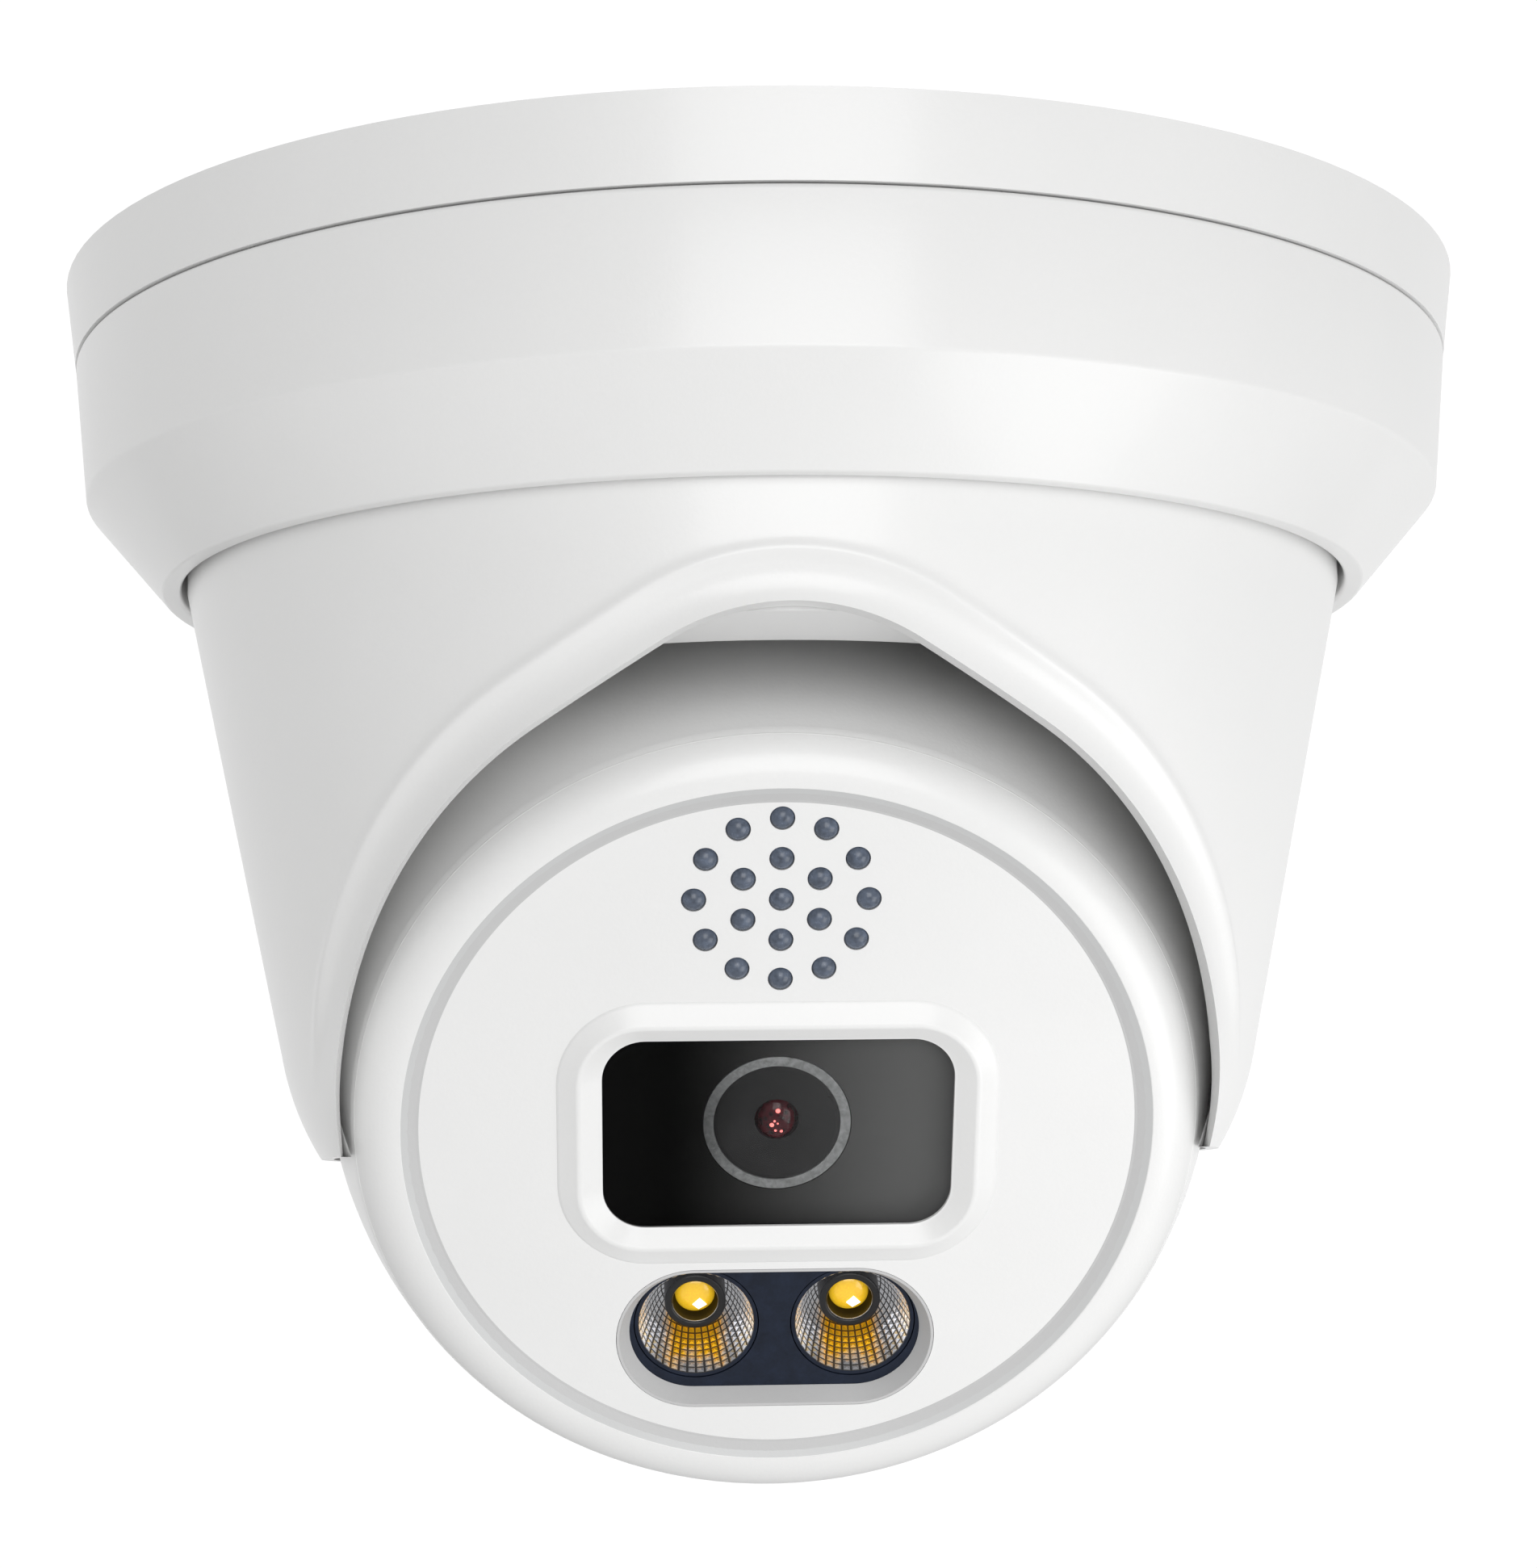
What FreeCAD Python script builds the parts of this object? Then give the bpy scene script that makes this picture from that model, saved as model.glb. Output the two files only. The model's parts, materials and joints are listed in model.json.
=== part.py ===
import FreeCAD, Part

# Turret-style dome surveillance camera, as an assembly of separate pieces.
#
# Row frame: the origin is the centre of the ceiling face, +Z points up into the ceiling,
# the camera hangs down along -Z and looks towards -Y. Lengths are in millimetres.
#
# Ball frame: pieces inside the tilting ball are drawn about the ball's centre, with their
# local +Z along the optical axis (out through the lens), +X to the right as seen from in
# front, and +Y towards the top of the picture. "level" below means a height on local Z.
#
# Every driving size is a cell of the sheet named Dims, and every sketch and feature is
# bound to those cells by an expression.

import collections
import math
import os

import Sketcher

DIMENSIONS = {
    # ceiling base and trim ring
    "top_radius": 69.2, "rim_bottom_radius": 68.25, "rim_depth": 7.6, "seam_gap": 0.3,
    "plate_thickness": 4.0, "spigot_inner": 62.0, "spigot_outer": 64.5, "spigot_depth": 12.0,
    "gasket_inner": 61.0, "gasket_outer": 65.0, "gasket_depth": 1.0,
    "seal_inner": 65.0, "seal_outer": 67.4,
    "ring_edge_radius": 67.0, "ring_edge_depth": 21.1, "ring_lip_radius": 59.6,
    "ring_bore": 57.8, "ring_height": 29.7, "ring_wall_radius": 64.8, "lip_top_depth": 24.6,
    "lip_pocket_radius": 62.0,
    "ceiling_hole_radius": 2.3, "ceiling_hole_circle": 50.0,
    "inlet_radius": 4.0, "inlet_length": 5.0,
    "lock_screw_depth": 13.6, "lock_screw_radius": 1.5,
    # pan bearing under the base
    "boss_bore": 9.0, "boss_radius": 20.0, "boss_shoulder": 23.0,
    "carrier_top": 18.5, "carrier_bottom": 21.5, "pan_clearance": 0.1,
    "retainer_radius": 25.0, "retainer_thickness": 2.0, "retainer_hole_circle": 14.5,
    "retainer_drill_radius": 1.25, "retainer_drill_depth": 8.5,
    "stop_inner": 28.0, "stop_outer": 32.0, "stop_half_width": 0.5,
    "socket_top": 7.0, "socket_bottom": 20.0,
    # turret
    "flange_radius": 60.8, "flange_bottom": 24.0, "carrier_radius": 60.5,
    "cone_top_radius": 57.2, "cone_top_depth": 29.7, "cone_foot_radius": 47.7,
    "cone_foot_depth": 75.0, "arm_tip_radius": 43.9, "arm_tip_depth": 84.8,
    "arm_inner_radius": 42.7, "arm_inner_depth": 84.6, "arm_curve": 28.0,
    "neck_bore": 54.5, "cone_wall": 2.3,
    "arch_apex_depth": 39.7, "arch_apex_curve": 22.0, "arch_flank_end": 22.0,
    "arch_half_width": 40.8, "arch_bottom_depth": 95.0,
    "carrier_screw_circle": 57.6,
    "seat_bore": 38.0, "seat_outer": 52.1, "seat_depth": 40.0, "seat_thickness": 2.0,
    "seat_skirt_inner": 50.0, "seat_skirt_outer": 51.9,
    # ball and its two pivots
    "ball_depth": 73.5, "ball_radius": 43.6, "ball_wall": 3.0, "rest_tilt": 29.5,
    "pivot_radius": 3.0, "pivot_head_radius": 4.5, "pivot_head_start": 33.3,
    "bush_start": 36.0, "bush_end": 42.5, "bush_radius": 4.5, "pivot_boss_radius": 5.5,
    "turret_boss_face": 43.65, "pivot_thread_radius": 2.0, "pivot_thread_end": 45.7,
    "rear_level": -24.0, "rear_flange_level": -21.0, "rear_bore": 29.0,
    "cover_thickness": 2.5, "cover_screw_circle": 31.0,
    "gland_nut_length": 4.0, "gland_length": 8.0, "gland_flat_radius": 6.5,
    "button_height": -20.0, "button_radius": 2.0,
    "shell_front_level": 18.2, "shell_lip_bore": 36.6, "shell_ledge_level": 15.7,
    "shell_neck_bore": 33.05, "shell_ledge_back": 13.0,
    # front module that rolls about the optical axis
    "crease_level": 18.5, "rim_radius": 38.95, "face_level": 20.4, "groove_outer": 35.2, "rim_curve": 4.0,
    "plate_level": 19.65, "plate_back": 18.0, "plate_radius": 33.55, "recess_radius": 33.75,
    "ledge_level": 17.4, "housing_bore": 31.0, "neck_radius": 32.95, "neck_flange": 36.3,
    "neck_flange_level": 15.95, "housing_back": -8.0, "housing_floor": -6.0,
    "lead_hole": 4.0, "clip_low": 11.8, "clip_high": 12.9, "clip_groove": 32.0,
    "window_half_width": 16.4, "window_half_height": 9.75, "window_corner": 4.0,
    "crest_half_width": 18.6, "crest_half_height": 11.55, "crest_corner": 6.0,
    "foot_half_width": 20.7, "foot_half_height": 13.75, "foot_corner": 8.5,
    "crest_level": 20.55, "pane_half_width": 17.4, "pane_half_height": 10.75,
    "pane_corner": 4.8, "pane_gap": 0.2, "pane_back": 17.6, "mask_back": 16.95,
    "light_centre": -22.1, "light_half_width": 15.3, "light_half_height": 7.6,
    "light_step": 1.3, "cup_across": 7.55, "cup_centre": -21.4, "cup_radius": 6.0,
    "cup_mouth": 5.6, "cup_throat": 2.7, "cup_floor": 10.0, "light_board_back": 8.2,
    "speaker_centre": 24.0, "speaker_hole_radius": 1.15, "speaker_inner_ring": 4.03,
    "speaker_outer_ring": 7.98, "speaker_body_centre": 20.5, "speaker_radius": 9.8,
    "lens_ring_outer": 6.95, "lens_ring_inner": 6.0, "lens_ring_level": 17.5,
    "barrel_radius": 5.95, "barrel_bore": 4.6, "barrel_back": 3.45, "barrel_front": 15.9,
    "front_lens_radius": 2.05, "holder_half_width": 7.5, "holder_height": 8.0,
    "board_radius": 27.0, "board_thickness": 1.6, "board_screw_circle": 24.0,
    "main_board_level": -14.0, "main_board_radius": 28.5, "main_screw_circle": 22.0,
    "harness_radius": 1.75,
}

SPEAKER_RINGS = (("speaker_inner_ring", 6), ("speaker_outer_ring", 12))
CEILING_HOLES = 3
RETAINER_SCREWS = 3
CARRIER_SCREWS = 4
COVER_SCREWS = 4
BOARD_SCREWS = 4
MAIN_BOARD_SCREWS = 3
MAIN_BOARD_TURN = 90    # first post straight up, clear of the reset button below
FLANK_ANGLE = 30.0      # slope of the arch's straight flanks below the horizontal
LENS_FLAT = 0.3         # small flat at the crown of each lens element

document = FreeCAD.newDocument("dome_camera")
pieces = []


class Size:
    """A length that carries both its value and the sheet expression that gives it."""

    def __init__(self, value, formula):
        self.value = value
        self.formula = formula

    def __add__(self, other):
        other = as_size(other)
        return Size(self.value + other.value, f"({self.formula} + {other.formula})")

    def __sub__(self, other):
        other = as_size(other)
        return Size(self.value - other.value, f"({self.formula} - {other.formula})")

    def __mul__(self, other):
        other = as_size(other)
        return Size(self.value * other.value, f"({self.formula} * {other.formula})")

    def __neg__(self):
        return Size(-self.value, f"(0 - {self.formula})")

    __radd__ = __add__
    __rmul__ = __mul__

    def __rsub__(self, other):
        return as_size(other) - self


def as_size(number):
    """Turn a plain number into a Size, and leave a Size as it is."""
    if isinstance(number, Size):
        return number
    return Size(float(number), f"{float(number):.6f}")


class SheetSizes:
    """Gives each sheet cell as a Size, by its alias."""

    def __getattr__(self, alias):
        return Size(DIMENSIONS[alias], f"Dims.{alias}")


S = SheetSizes()


def chord_radius(sphere_radius, level):
    """Radius of the circle that a plane at this level cuts from a centred sphere."""
    value = math.sqrt(sphere_radius.value ** 2 - as_size(level).value ** 2)
    level = as_size(level)
    formula = f"sqrt({sphere_radius.formula} ^ 2 - {level.formula} ^ 2)"
    return Size(value, formula)


# A corner of an outline. With an arc, the edge to the next corner bends with that radius:
# side +1 bulges to the left of the direction of travel and side -1 to the right.
Corner = collections.namedtuple("Corner", "x y arc side", defaults=(None, 1))

BALL_PLACEMENT = ("placement(vector(0; 0; -Dims.ball_depth); "
                  "rotation(vector(1; 0; 0); 90 + Dims.rest_tilt))")
PIVOT_PLACEMENT = "placement(vector(0; 0; -Dims.ball_depth); rotation(vector(1; 0; 0); 0))"


# ---------------------------------------------------------------- sketch and body helpers

def fill_sheet():
    """Write the driving sizes to the sheet, one aliased cell a row."""
    sheet = document.addObject("Spreadsheet::Sheet", "Dims")
    for row, (alias, value) in enumerate(DIMENSIONS.items(), start=1):
        sheet.set(f"A{row}", alias)
        sheet.set(f"B{row}", str(value))
        sheet.setAlias(f"B{row}", alias)
    document.recompute()


def new_body(label, placement=None):
    """Start a piece: a body whose label is its node name."""
    body = document.addObject("PartDesign::Body", label)
    body.Label = label
    body.AllowCompound = True
    if placement:
        body.setExpression("Placement", placement)
    pieces.append(body)
    return body


def origin_feature(body, role):
    """Find one of the body's own origin planes or axes."""
    return next(item for item in body.Origin.OriginFeatures if item.Role == role)


def new_sketch(body, plane, level=0.0):
    """Attach a sketch to an origin plane of its body, raised along the plane's normal."""
    sketch = body.newObject("Sketcher::SketchObject", body.Label + "_sketch")
    sketch.AttachmentSupport = [(origin_feature(body, plane), "")]
    sketch.MapMode = "FlatFace"
    sketch.setExpression(".AttachmentOffset.Base.z", as_size(level).formula)
    return sketch


def pin_point(sketch, geometry, vertex, x, y):
    """Bind a point of the sketch to its two coordinates."""
    for kind, coordinate, axis in (("DistanceX", x, -2), ("DistanceY", y, -1)):
        coordinate = as_size(coordinate)
        if coordinate.value == 0.0:
            sketch.addConstraint(Sketcher.Constraint("PointOnObject", geometry, vertex, axis))
            continue
        index = sketch.addConstraint(
            Sketcher.Constraint(kind, -1, 1, geometry, vertex, coordinate.value))
        sketch.setExpression(f"Constraints[{index}]", coordinate.formula)


def add_radius(sketch, geometry, radius):
    """Bind the radius of a circle or an arc."""
    index = sketch.addConstraint(Sketcher.Constraint("Radius", geometry, radius.value))
    sketch.setExpression(f"Constraints[{index}]", radius.formula)


def edge_geometry(start, end, arc, side):
    """Line or arc from one corner to the next, with its first and last vertex numbers."""
    first = FreeCAD.Vector(start[0], start[1], 0)
    last = FreeCAD.Vector(end[0], end[1], 0)
    if arc is None:
        return Part.LineSegment(first, last), (1, 2)
    chord = last - first
    left = FreeCAD.Vector(-chord.y, chord.x, 0) * (side / chord.Length)
    drop = math.sqrt(arc.value ** 2 - (chord.Length / 2) ** 2)
    crown = (first + last) * 0.5 + left * (arc.value - drop)
    return Part.Arc(first, crown, last), (2, 1) if side > 0 else (1, 2)


def add_outline(sketch, corners):
    """Draw a closed outline through the corners and bind each of them."""
    offset = sketch.GeometryCount
    count = len(corners)
    spots = [(as_size(corner.x).value, as_size(corner.y).value) for corner in corners]
    ends = []
    for index, corner in enumerate(corners):
        arc = None if corner.arc is None else as_size(corner.arc)
        geometry, vertices = edge_geometry(
            spots[index], spots[(index + 1) % count], arc, corner.side)
        sketch.addGeometry(geometry, False)
        ends.append(vertices)
    for index in range(count):
        following = (index + 1) % count
        sketch.addConstraint(Sketcher.Constraint(
            "Coincident", offset + index, ends[index][1], offset + following,
            ends[following][0]))
    for index, corner in enumerate(corners):
        pin_point(sketch, offset + index, ends[index][0], corner.x, corner.y)
        if corner.arc is not None:
            add_radius(sketch, offset + index, as_size(corner.arc))


def add_circle(sketch, x, y, radius):
    """Draw a circle and bind its centre and radius."""
    x, y, radius = as_size(x), as_size(y), as_size(radius)
    centre = FreeCAD.Vector(x.value, y.value, 0)
    index = sketch.addGeometry(
        Part.Circle(centre, FreeCAD.Vector(0, 0, 1), radius.value), False)
    pin_point(sketch, index, 3, x, y)
    add_radius(sketch, index, radius)


def rectangle(low_x, low_y, high_x, high_y):
    """Corners of an upright rectangle."""
    return [Corner(low_x, low_y), Corner(high_x, low_y), Corner(high_x, high_y),
            Corner(low_x, high_y)]


def rounded_rectangle(half_width, half_height, corner, centre=0.0):
    """Corners of a rectangle with round corners, centred on x = 0 and y = centre."""
    half_width, half_height = as_size(half_width), as_size(half_height)
    corner, centre = as_size(corner), as_size(centre)
    inner_x = half_width - corner
    inner_y = half_height - corner
    return [
        Corner(-inner_x, centre - half_height), Corner(inner_x, centre - half_height, corner, -1),
        Corner(half_width, centre - inner_y), Corner(half_width, centre + inner_y, corner, -1),
        Corner(inner_x, centre + half_height), Corner(-inner_x, centre + half_height, corner, -1),
        Corner(-half_width, centre + inner_y), Corner(-half_width, centre - inner_y, corner, -1),
    ]


def stadium(half_width, half_height, centre):
    """Corners of a slot outline with round ends, as four quarter arcs and two sides."""
    half_width, half_height, centre = map(as_size, (half_width, half_height, centre))
    straight = half_width - half_height
    return [
        Corner(-straight, centre - half_height),
        Corner(straight, centre - half_height, half_height, -1),
        Corner(half_width, centre, half_height, -1),
        Corner(straight, centre + half_height),
        Corner(-straight, centre + half_height, half_height, -1),
        Corner(-half_width, centre, half_height, -1),
    ]


def add_revolution(body, outlines, axis="V_Axis"):
    """Revolve one or more closed outlines drawn on the XZ plane."""
    sketch = new_sketch(body, "XZ_Plane")
    for corners in outlines:
        add_outline(sketch, corners)
    feature = body.newObject("PartDesign::Revolution", body.Label + "_turned")
    feature.Profile = sketch
    feature.ReferenceAxis = (sketch, [axis])
    feature.Angle = 360
    document.recompute()
    return feature


def add_pad(body, sketch, length):
    """Extrude a sketch along its plane's normal."""
    feature = body.newObject("PartDesign::Pad", body.Label + "_pad")
    feature.Profile = sketch
    feature.setExpression("Length", as_size(length).formula)
    document.recompute()
    return feature


def add_pocket(body, sketch, depth=None):
    """Cut a sketch into the body, down from its plane, or right through with no depth."""
    before = body.Shape.Volume
    feature = body.newObject("PartDesign::Pocket", body.Label + "_pocket")
    feature.Profile = sketch
    if depth is None:
        feature.Type = "ThroughAll"
        feature.SideType = "Symmetric"
    else:
        feature.setExpression("Length", as_size(depth).formula)
    document.recompute()
    require_change(body, before, -1)
    return feature


def require_change(body, before, sign):
    """Stop if the last feature did not remove or add material as it should."""
    change = body.Shape.Volume - before
    if change * sign <= 0:
        raise RuntimeError(f"{body.Label}: {body.Tip.Name} changed the volume by {change}")


def repeat_round(body, features, count):
    """Repeat features evenly about the body's Z axis."""
    pattern = body.newObject("PartDesign::PolarPattern", body.Label + "_round")
    pattern.Originals = features
    pattern.Axis = (origin_feature(body, "Z_Axis"), [""])
    pattern.Angle = 360
    pattern.Occurrences = count
    body.Tip = pattern
    document.recompute()
    return pattern


def repeat_across(body, features):
    """Mirror features to the other side of the body's YZ plane."""
    mirror = body.newObject("PartDesign::Mirrored", body.Label + "_mirrored")
    mirror.Originals = features
    mirror.MirrorPlane = (origin_feature(body, "YZ_Plane"), [""])
    body.Tip = mirror
    document.recompute()
    return mirror


def drill_circle(body, circle_radius, angle, radius, count):
    """Drill a ring of through holes along the body's Z axis."""
    sketch = new_sketch(body, "XY_Plane")
    turn = math.radians(angle)
    add_circle(sketch, circle_radius * math.cos(turn), circle_radius * math.sin(turn), radius)
    hole = add_pocket(body, sketch)
    if count > 1:
        repeat_round(body, [hole], count)


def turned(label, corners, placement=None):
    """Piece turned about its Z axis from one closed outline of (radius, level) corners."""
    body = new_body(label, placement)
    add_revolution(body, [corners])
    return body


def ring(label, inner, outer, low, high, placement=None):
    """Plain ring, or a disc where the inner radius is 0."""
    return turned(label, rectangle(inner, low, outer, high), placement)


def extruded(label, corners, low, high, placement=None):
    """Piece of constant section between two levels."""
    body = new_body(label, placement)
    sketch = new_sketch(body, "XY_Plane", low)
    add_outline(sketch, corners)
    add_pad(body, sketch, as_size(high) - as_size(low))
    return body


def cut_outline(body, corners, high, depth):
    """Cut an outline down into the body from a level."""
    sketch = new_sketch(body, "XY_Plane", high)
    add_outline(sketch, corners)
    return add_pocket(body, sketch, depth)


def cut_hole(body, x, y, radius, high, depth):
    """Cut a blind round hole down into the body from a level."""
    sketch = new_sketch(body, "XY_Plane", high)
    add_circle(sketch, x, y, radius)
    return add_pocket(body, sketch, depth)


def add_post(body, x, y, radius, low, high):
    """Add a round post between two levels."""
    sketch = new_sketch(body, "XY_Plane", low)
    add_circle(sketch, x, y, radius)
    return add_pad(body, sketch, as_size(high) - as_size(low))


def add_loft(body, low_corners, low, high_corners, high, kind):
    """Blend between two outlines at two levels, adding or removing material."""
    sketches = []
    for corners, level in ((low_corners, low), (high_corners, high)):
        sketch = new_sketch(body, "XY_Plane", level)
        add_outline(sketch, corners)
        sketches.append(sketch)
    before = body.Shape.Volume if kind == "SubtractiveLoft" else 0.0
    feature = body.newObject("PartDesign::" + kind, body.Label + "_loft")
    feature.Profile = sketches[0]
    feature.Sections = [sketches[1]]
    feature.Ruled = True
    document.recompute()
    require_change(body, before, -1 if kind == "SubtractiveLoft" else 1)
    return feature


def screw_group(label, circle_radius, angle, count, under_head, head, shank, placement=None):
    """Group of equal screws on a circle.

    head and shank are (radius, length); the head stands from under_head the way that the
    sign of its length says, and the shank goes the other way.
    """
    body = new_body(label, placement)
    turn = math.radians(angle)
    x = circle_radius * math.cos(turn)
    y = circle_radius * math.sin(turn)
    parts = []
    for radius, length in (head, shank):
        low = as_size(under_head) + min(length, 0.0)
        parts.append(add_post(body, x, y, radius, low, low + abs(length)))
    repeat_round(body, parts, count)
    return body


# ---------------------------------------------------------------- ceiling base (root)

def build_mounting_base():
    """Cast plate with an outer rim, a spigot for the trim ring and the pan boss."""
    shoulder = -(S.carrier_top - S.pan_clearance)
    body = turned("mounting_base", [
        Corner(S.boss_bore, -(S.carrier_bottom + 0.5)),
        Corner(S.boss_radius, -(S.carrier_bottom + 0.5)), Corner(S.boss_radius, shoulder),
        Corner(S.boss_shoulder, shoulder), Corner(S.boss_shoulder, -S.plate_thickness),
        Corner(S.spigot_inner, -S.plate_thickness), Corner(S.spigot_inner, -S.spigot_depth),
        Corner(S.spigot_outer, -S.spigot_depth), Corner(S.spigot_outer, -S.rim_depth),
        Corner(S.rim_bottom_radius, -S.rim_depth), Corner(S.top_radius, 0),
        Corner(S.gasket_outer, 0), Corner(S.gasket_outer, -S.gasket_depth),
        Corner(S.gasket_inner, -S.gasket_depth), Corner(S.gasket_inner, 0),
        Corner(S.boss_bore, 0),
    ])
    stop = new_sketch(body, "XY_Plane", -(S.carrier_top - 1.5))
    add_outline(stop, rectangle(-S.stop_half_width, S.stop_inner, S.stop_half_width,
                                S.stop_outer))
    add_pad(body, stop, S.carrier_top - 1.5 - S.plate_thickness + 0.2)
    drill_circle(body, S.ceiling_hole_circle, 90, S.ceiling_hole_radius, CEILING_HOLES)
    for index in range(RETAINER_SCREWS):
        angle = math.pi / 2 + 2 * math.pi / RETAINER_SCREWS * index
        cut_hole(body, S.retainer_hole_circle * math.cos(angle),
                 S.retainer_hole_circle * math.sin(angle), S.retainer_drill_radius,
                 -(S.carrier_bottom - S.retainer_drill_depth), S.retainer_drill_depth + 0.7)
    return body


def build_base_rings():
    """Soft and thin rings of the base: ceiling gasket and the seal in the seam."""
    ring("base_gasket", S.gasket_inner, S.gasket_outer, -S.gasket_depth, 0)
    ring("base_seal_ring", S.seal_inner, S.seal_outer, -(S.rim_depth + S.seam_gap),
         -S.rim_depth)


def build_trim_ring():
    """Outer ring: drum wall, chamfer and inward lip that holds up the turret's flange."""
    return turned("trim_ring", [
        Corner(S.ring_wall_radius, -(S.rim_depth + S.seam_gap)),
        Corner(S.ring_wall_radius, -(S.ring_edge_depth - 1.0)),
        Corner(S.lip_pocket_radius, -(S.lip_top_depth - 1.6)),
        Corner(S.lip_pocket_radius, -S.lip_top_depth), Corner(S.ring_bore, -S.lip_top_depth),
        Corner(S.ring_bore, -S.ring_height), Corner(S.ring_lip_radius, -S.ring_height),
        Corner(S.ring_edge_radius, -S.ring_edge_depth),
        Corner(S.rim_bottom_radius - 0.05, -(S.rim_depth + S.seam_gap)),
    ])


def build_trim_lock_screw(base, trim):
    """Socket set screw that locks the trim ring to the base, at the back."""
    def radial_cylinder(name, radius, near, length):
        cylinder = document.addObject("Part::Cylinder", name)
        cylinder.setExpression("Radius", radius.formula)
        cylinder.setExpression("Height", as_size(length).formula)
        cylinder.setExpression(
            "Placement", f"placement(vector(0; {as_size(near).formula}; "
            "-Dims.lock_screw_depth + 2.6); rotation(vector(1; 0; 0); -90))")
        return cylinder

    screw_blank = radial_cylinder("lock_screw_blank", S.lock_screw_radius,
                                  S.spigot_outer - 2.0, 5.0)
    socket = document.addObject("Part::Prism", "lock_screw_socket")
    socket.Polygon = 6
    socket.Circumradius = 0.85
    socket.Height = 3.0
    socket.setExpression(
        "Placement", "placement(vector(0; Dims.spigot_outer + 1.4; "
        "-Dims.lock_screw_depth + 2.6); rotation(vector(1; 0; 0); -90))")
    screw = document.addObject("Part::Cut", "trim_lock_screw")
    screw.Label = "trim_lock_screw"
    screw.Base = screw_blank
    screw.Tool = socket
    pieces.append(screw)
    for body in (base, trim):
        sketch = new_sketch(body, "XZ_Plane", -60.0)
        add_circle(sketch, 0, -(S.lock_screw_depth - 2.6), S.lock_screw_radius)
        add_pocket(body, sketch, 15.0)


def build_pan_bearing():
    """What keeps the turret up on the base boss, and the grommet and socket in its bore."""
    ring("inlet_grommet", S.inlet_radius, S.boss_bore, -S.inlet_length, 0)
    ring("harness_socket", 0, S.boss_bore - 0.2, -S.socket_bottom, -S.socket_top)
    boss_foot = S.carrier_bottom + 0.5
    ring("pan_friction_washer", S.boss_radius + 0.3, S.retainer_radius - 0.5, -boss_foot,
         -(S.carrier_bottom + S.pan_clearance))
    retainer = ring("pan_retainer", S.boss_bore + 0.5, S.retainer_radius,
                    -(boss_foot + S.retainer_thickness), -boss_foot)
    drill_circle(retainer, S.retainer_hole_circle, 90, 1.5, RETAINER_SCREWS)
    screw_group("retainer_screws", S.retainer_hole_circle, 90, RETAINER_SCREWS,
                -(boss_foot + S.retainer_thickness), (2.4, -1.5), (1.25, 8.0))
    ring("pan_slip_ring", S.ring_bore + 0.4, S.carrier_radius + 0.1, -S.lip_top_depth,
         -(S.flange_bottom + 0.05))


# ---------------------------------------------------------------- turret (pans)

def arch_outline():
    """Front opening of the shroud: round apex, straight flanks, then arcs to upright sides."""
    flank = math.radians(FLANK_ANGLE)
    apex_x = S.arch_apex_curve * math.sin(flank)
    apex_z = -(S.arch_apex_depth + S.arch_apex_curve * (1 - math.cos(flank)))
    flank_x = S.arch_flank_end
    flank_z = apex_z - (flank_x - apex_x) * math.tan(flank)
    side_curve = (S.arch_half_width - flank_x) * (1 / (1 - math.sin(flank)))
    side_z = flank_z - side_curve * math.cos(flank)
    return [
        Corner(-S.arch_half_width, -S.arch_bottom_depth),
        Corner(-S.arch_half_width, side_z, side_curve, 1), Corner(-flank_x, flank_z),
        Corner(-apex_x, apex_z, S.arch_apex_curve, 1), Corner(apex_x, apex_z),
        Corner(flank_x, flank_z, side_curve, 1), Corner(S.arch_half_width, side_z),
        Corner(S.arch_half_width, -S.arch_bottom_depth),
    ]


def build_turret_shroud():
    """Conical shroud with an arched front and two arms that carry the ball's pivots."""
    foot_wall = S.cone_wall
    body = turned("turret_shroud", [
        Corner(S.neck_bore, -S.carrier_bottom), Corner(S.neck_bore, -S.cone_top_depth),
        Corner(S.cone_foot_radius - foot_wall, -S.cone_foot_depth),
        Corner(S.arm_inner_radius, -S.arm_inner_depth),
        Corner(S.arm_tip_radius, -S.arm_tip_depth, S.arm_curve, -1),
        Corner(S.cone_foot_radius, -S.cone_foot_depth),
        Corner(S.cone_top_radius, -S.cone_top_depth),
        Corner(S.cone_top_radius, -S.flange_bottom), Corner(S.flange_radius, -S.flange_bottom),
        Corner(S.flange_radius, -S.carrier_bottom),
    ])
    arch = new_sketch(body, "XZ_Plane", 70.0)
    add_outline(arch, arch_outline())
    add_pocket(body, arch, 70.0)
    screw_holes = new_sketch(body, "XY_Plane", -(S.carrier_bottom - 0.5))
    for index in range(CARRIER_SCREWS):
        angle = math.radians(45 + 360 / CARRIER_SCREWS * index)
        add_circle(screw_holes, S.carrier_screw_circle * math.cos(angle),
                   S.carrier_screw_circle * math.sin(angle), 1.3)
    add_pocket(body, screw_holes, 2.9)
    boss = new_sketch(body, "YZ_Plane", S.turret_boss_face)
    add_circle(boss, 0, -S.ball_depth, S.pivot_boss_radius)
    boss_pad = add_pad(body, boss, S.pivot_thread_end - S.turret_boss_face + 0.2)
    thread = new_sketch(body, "YZ_Plane", S.pivot_thread_end + 0.1)
    add_circle(thread, 0, -S.ball_depth, S.pivot_thread_radius)
    thread_hole = add_pocket(body, thread, S.pivot_thread_end - S.turret_boss_face + 1.0)
    repeat_across(body, [boss_pad, thread_hole])
    return body


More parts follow.
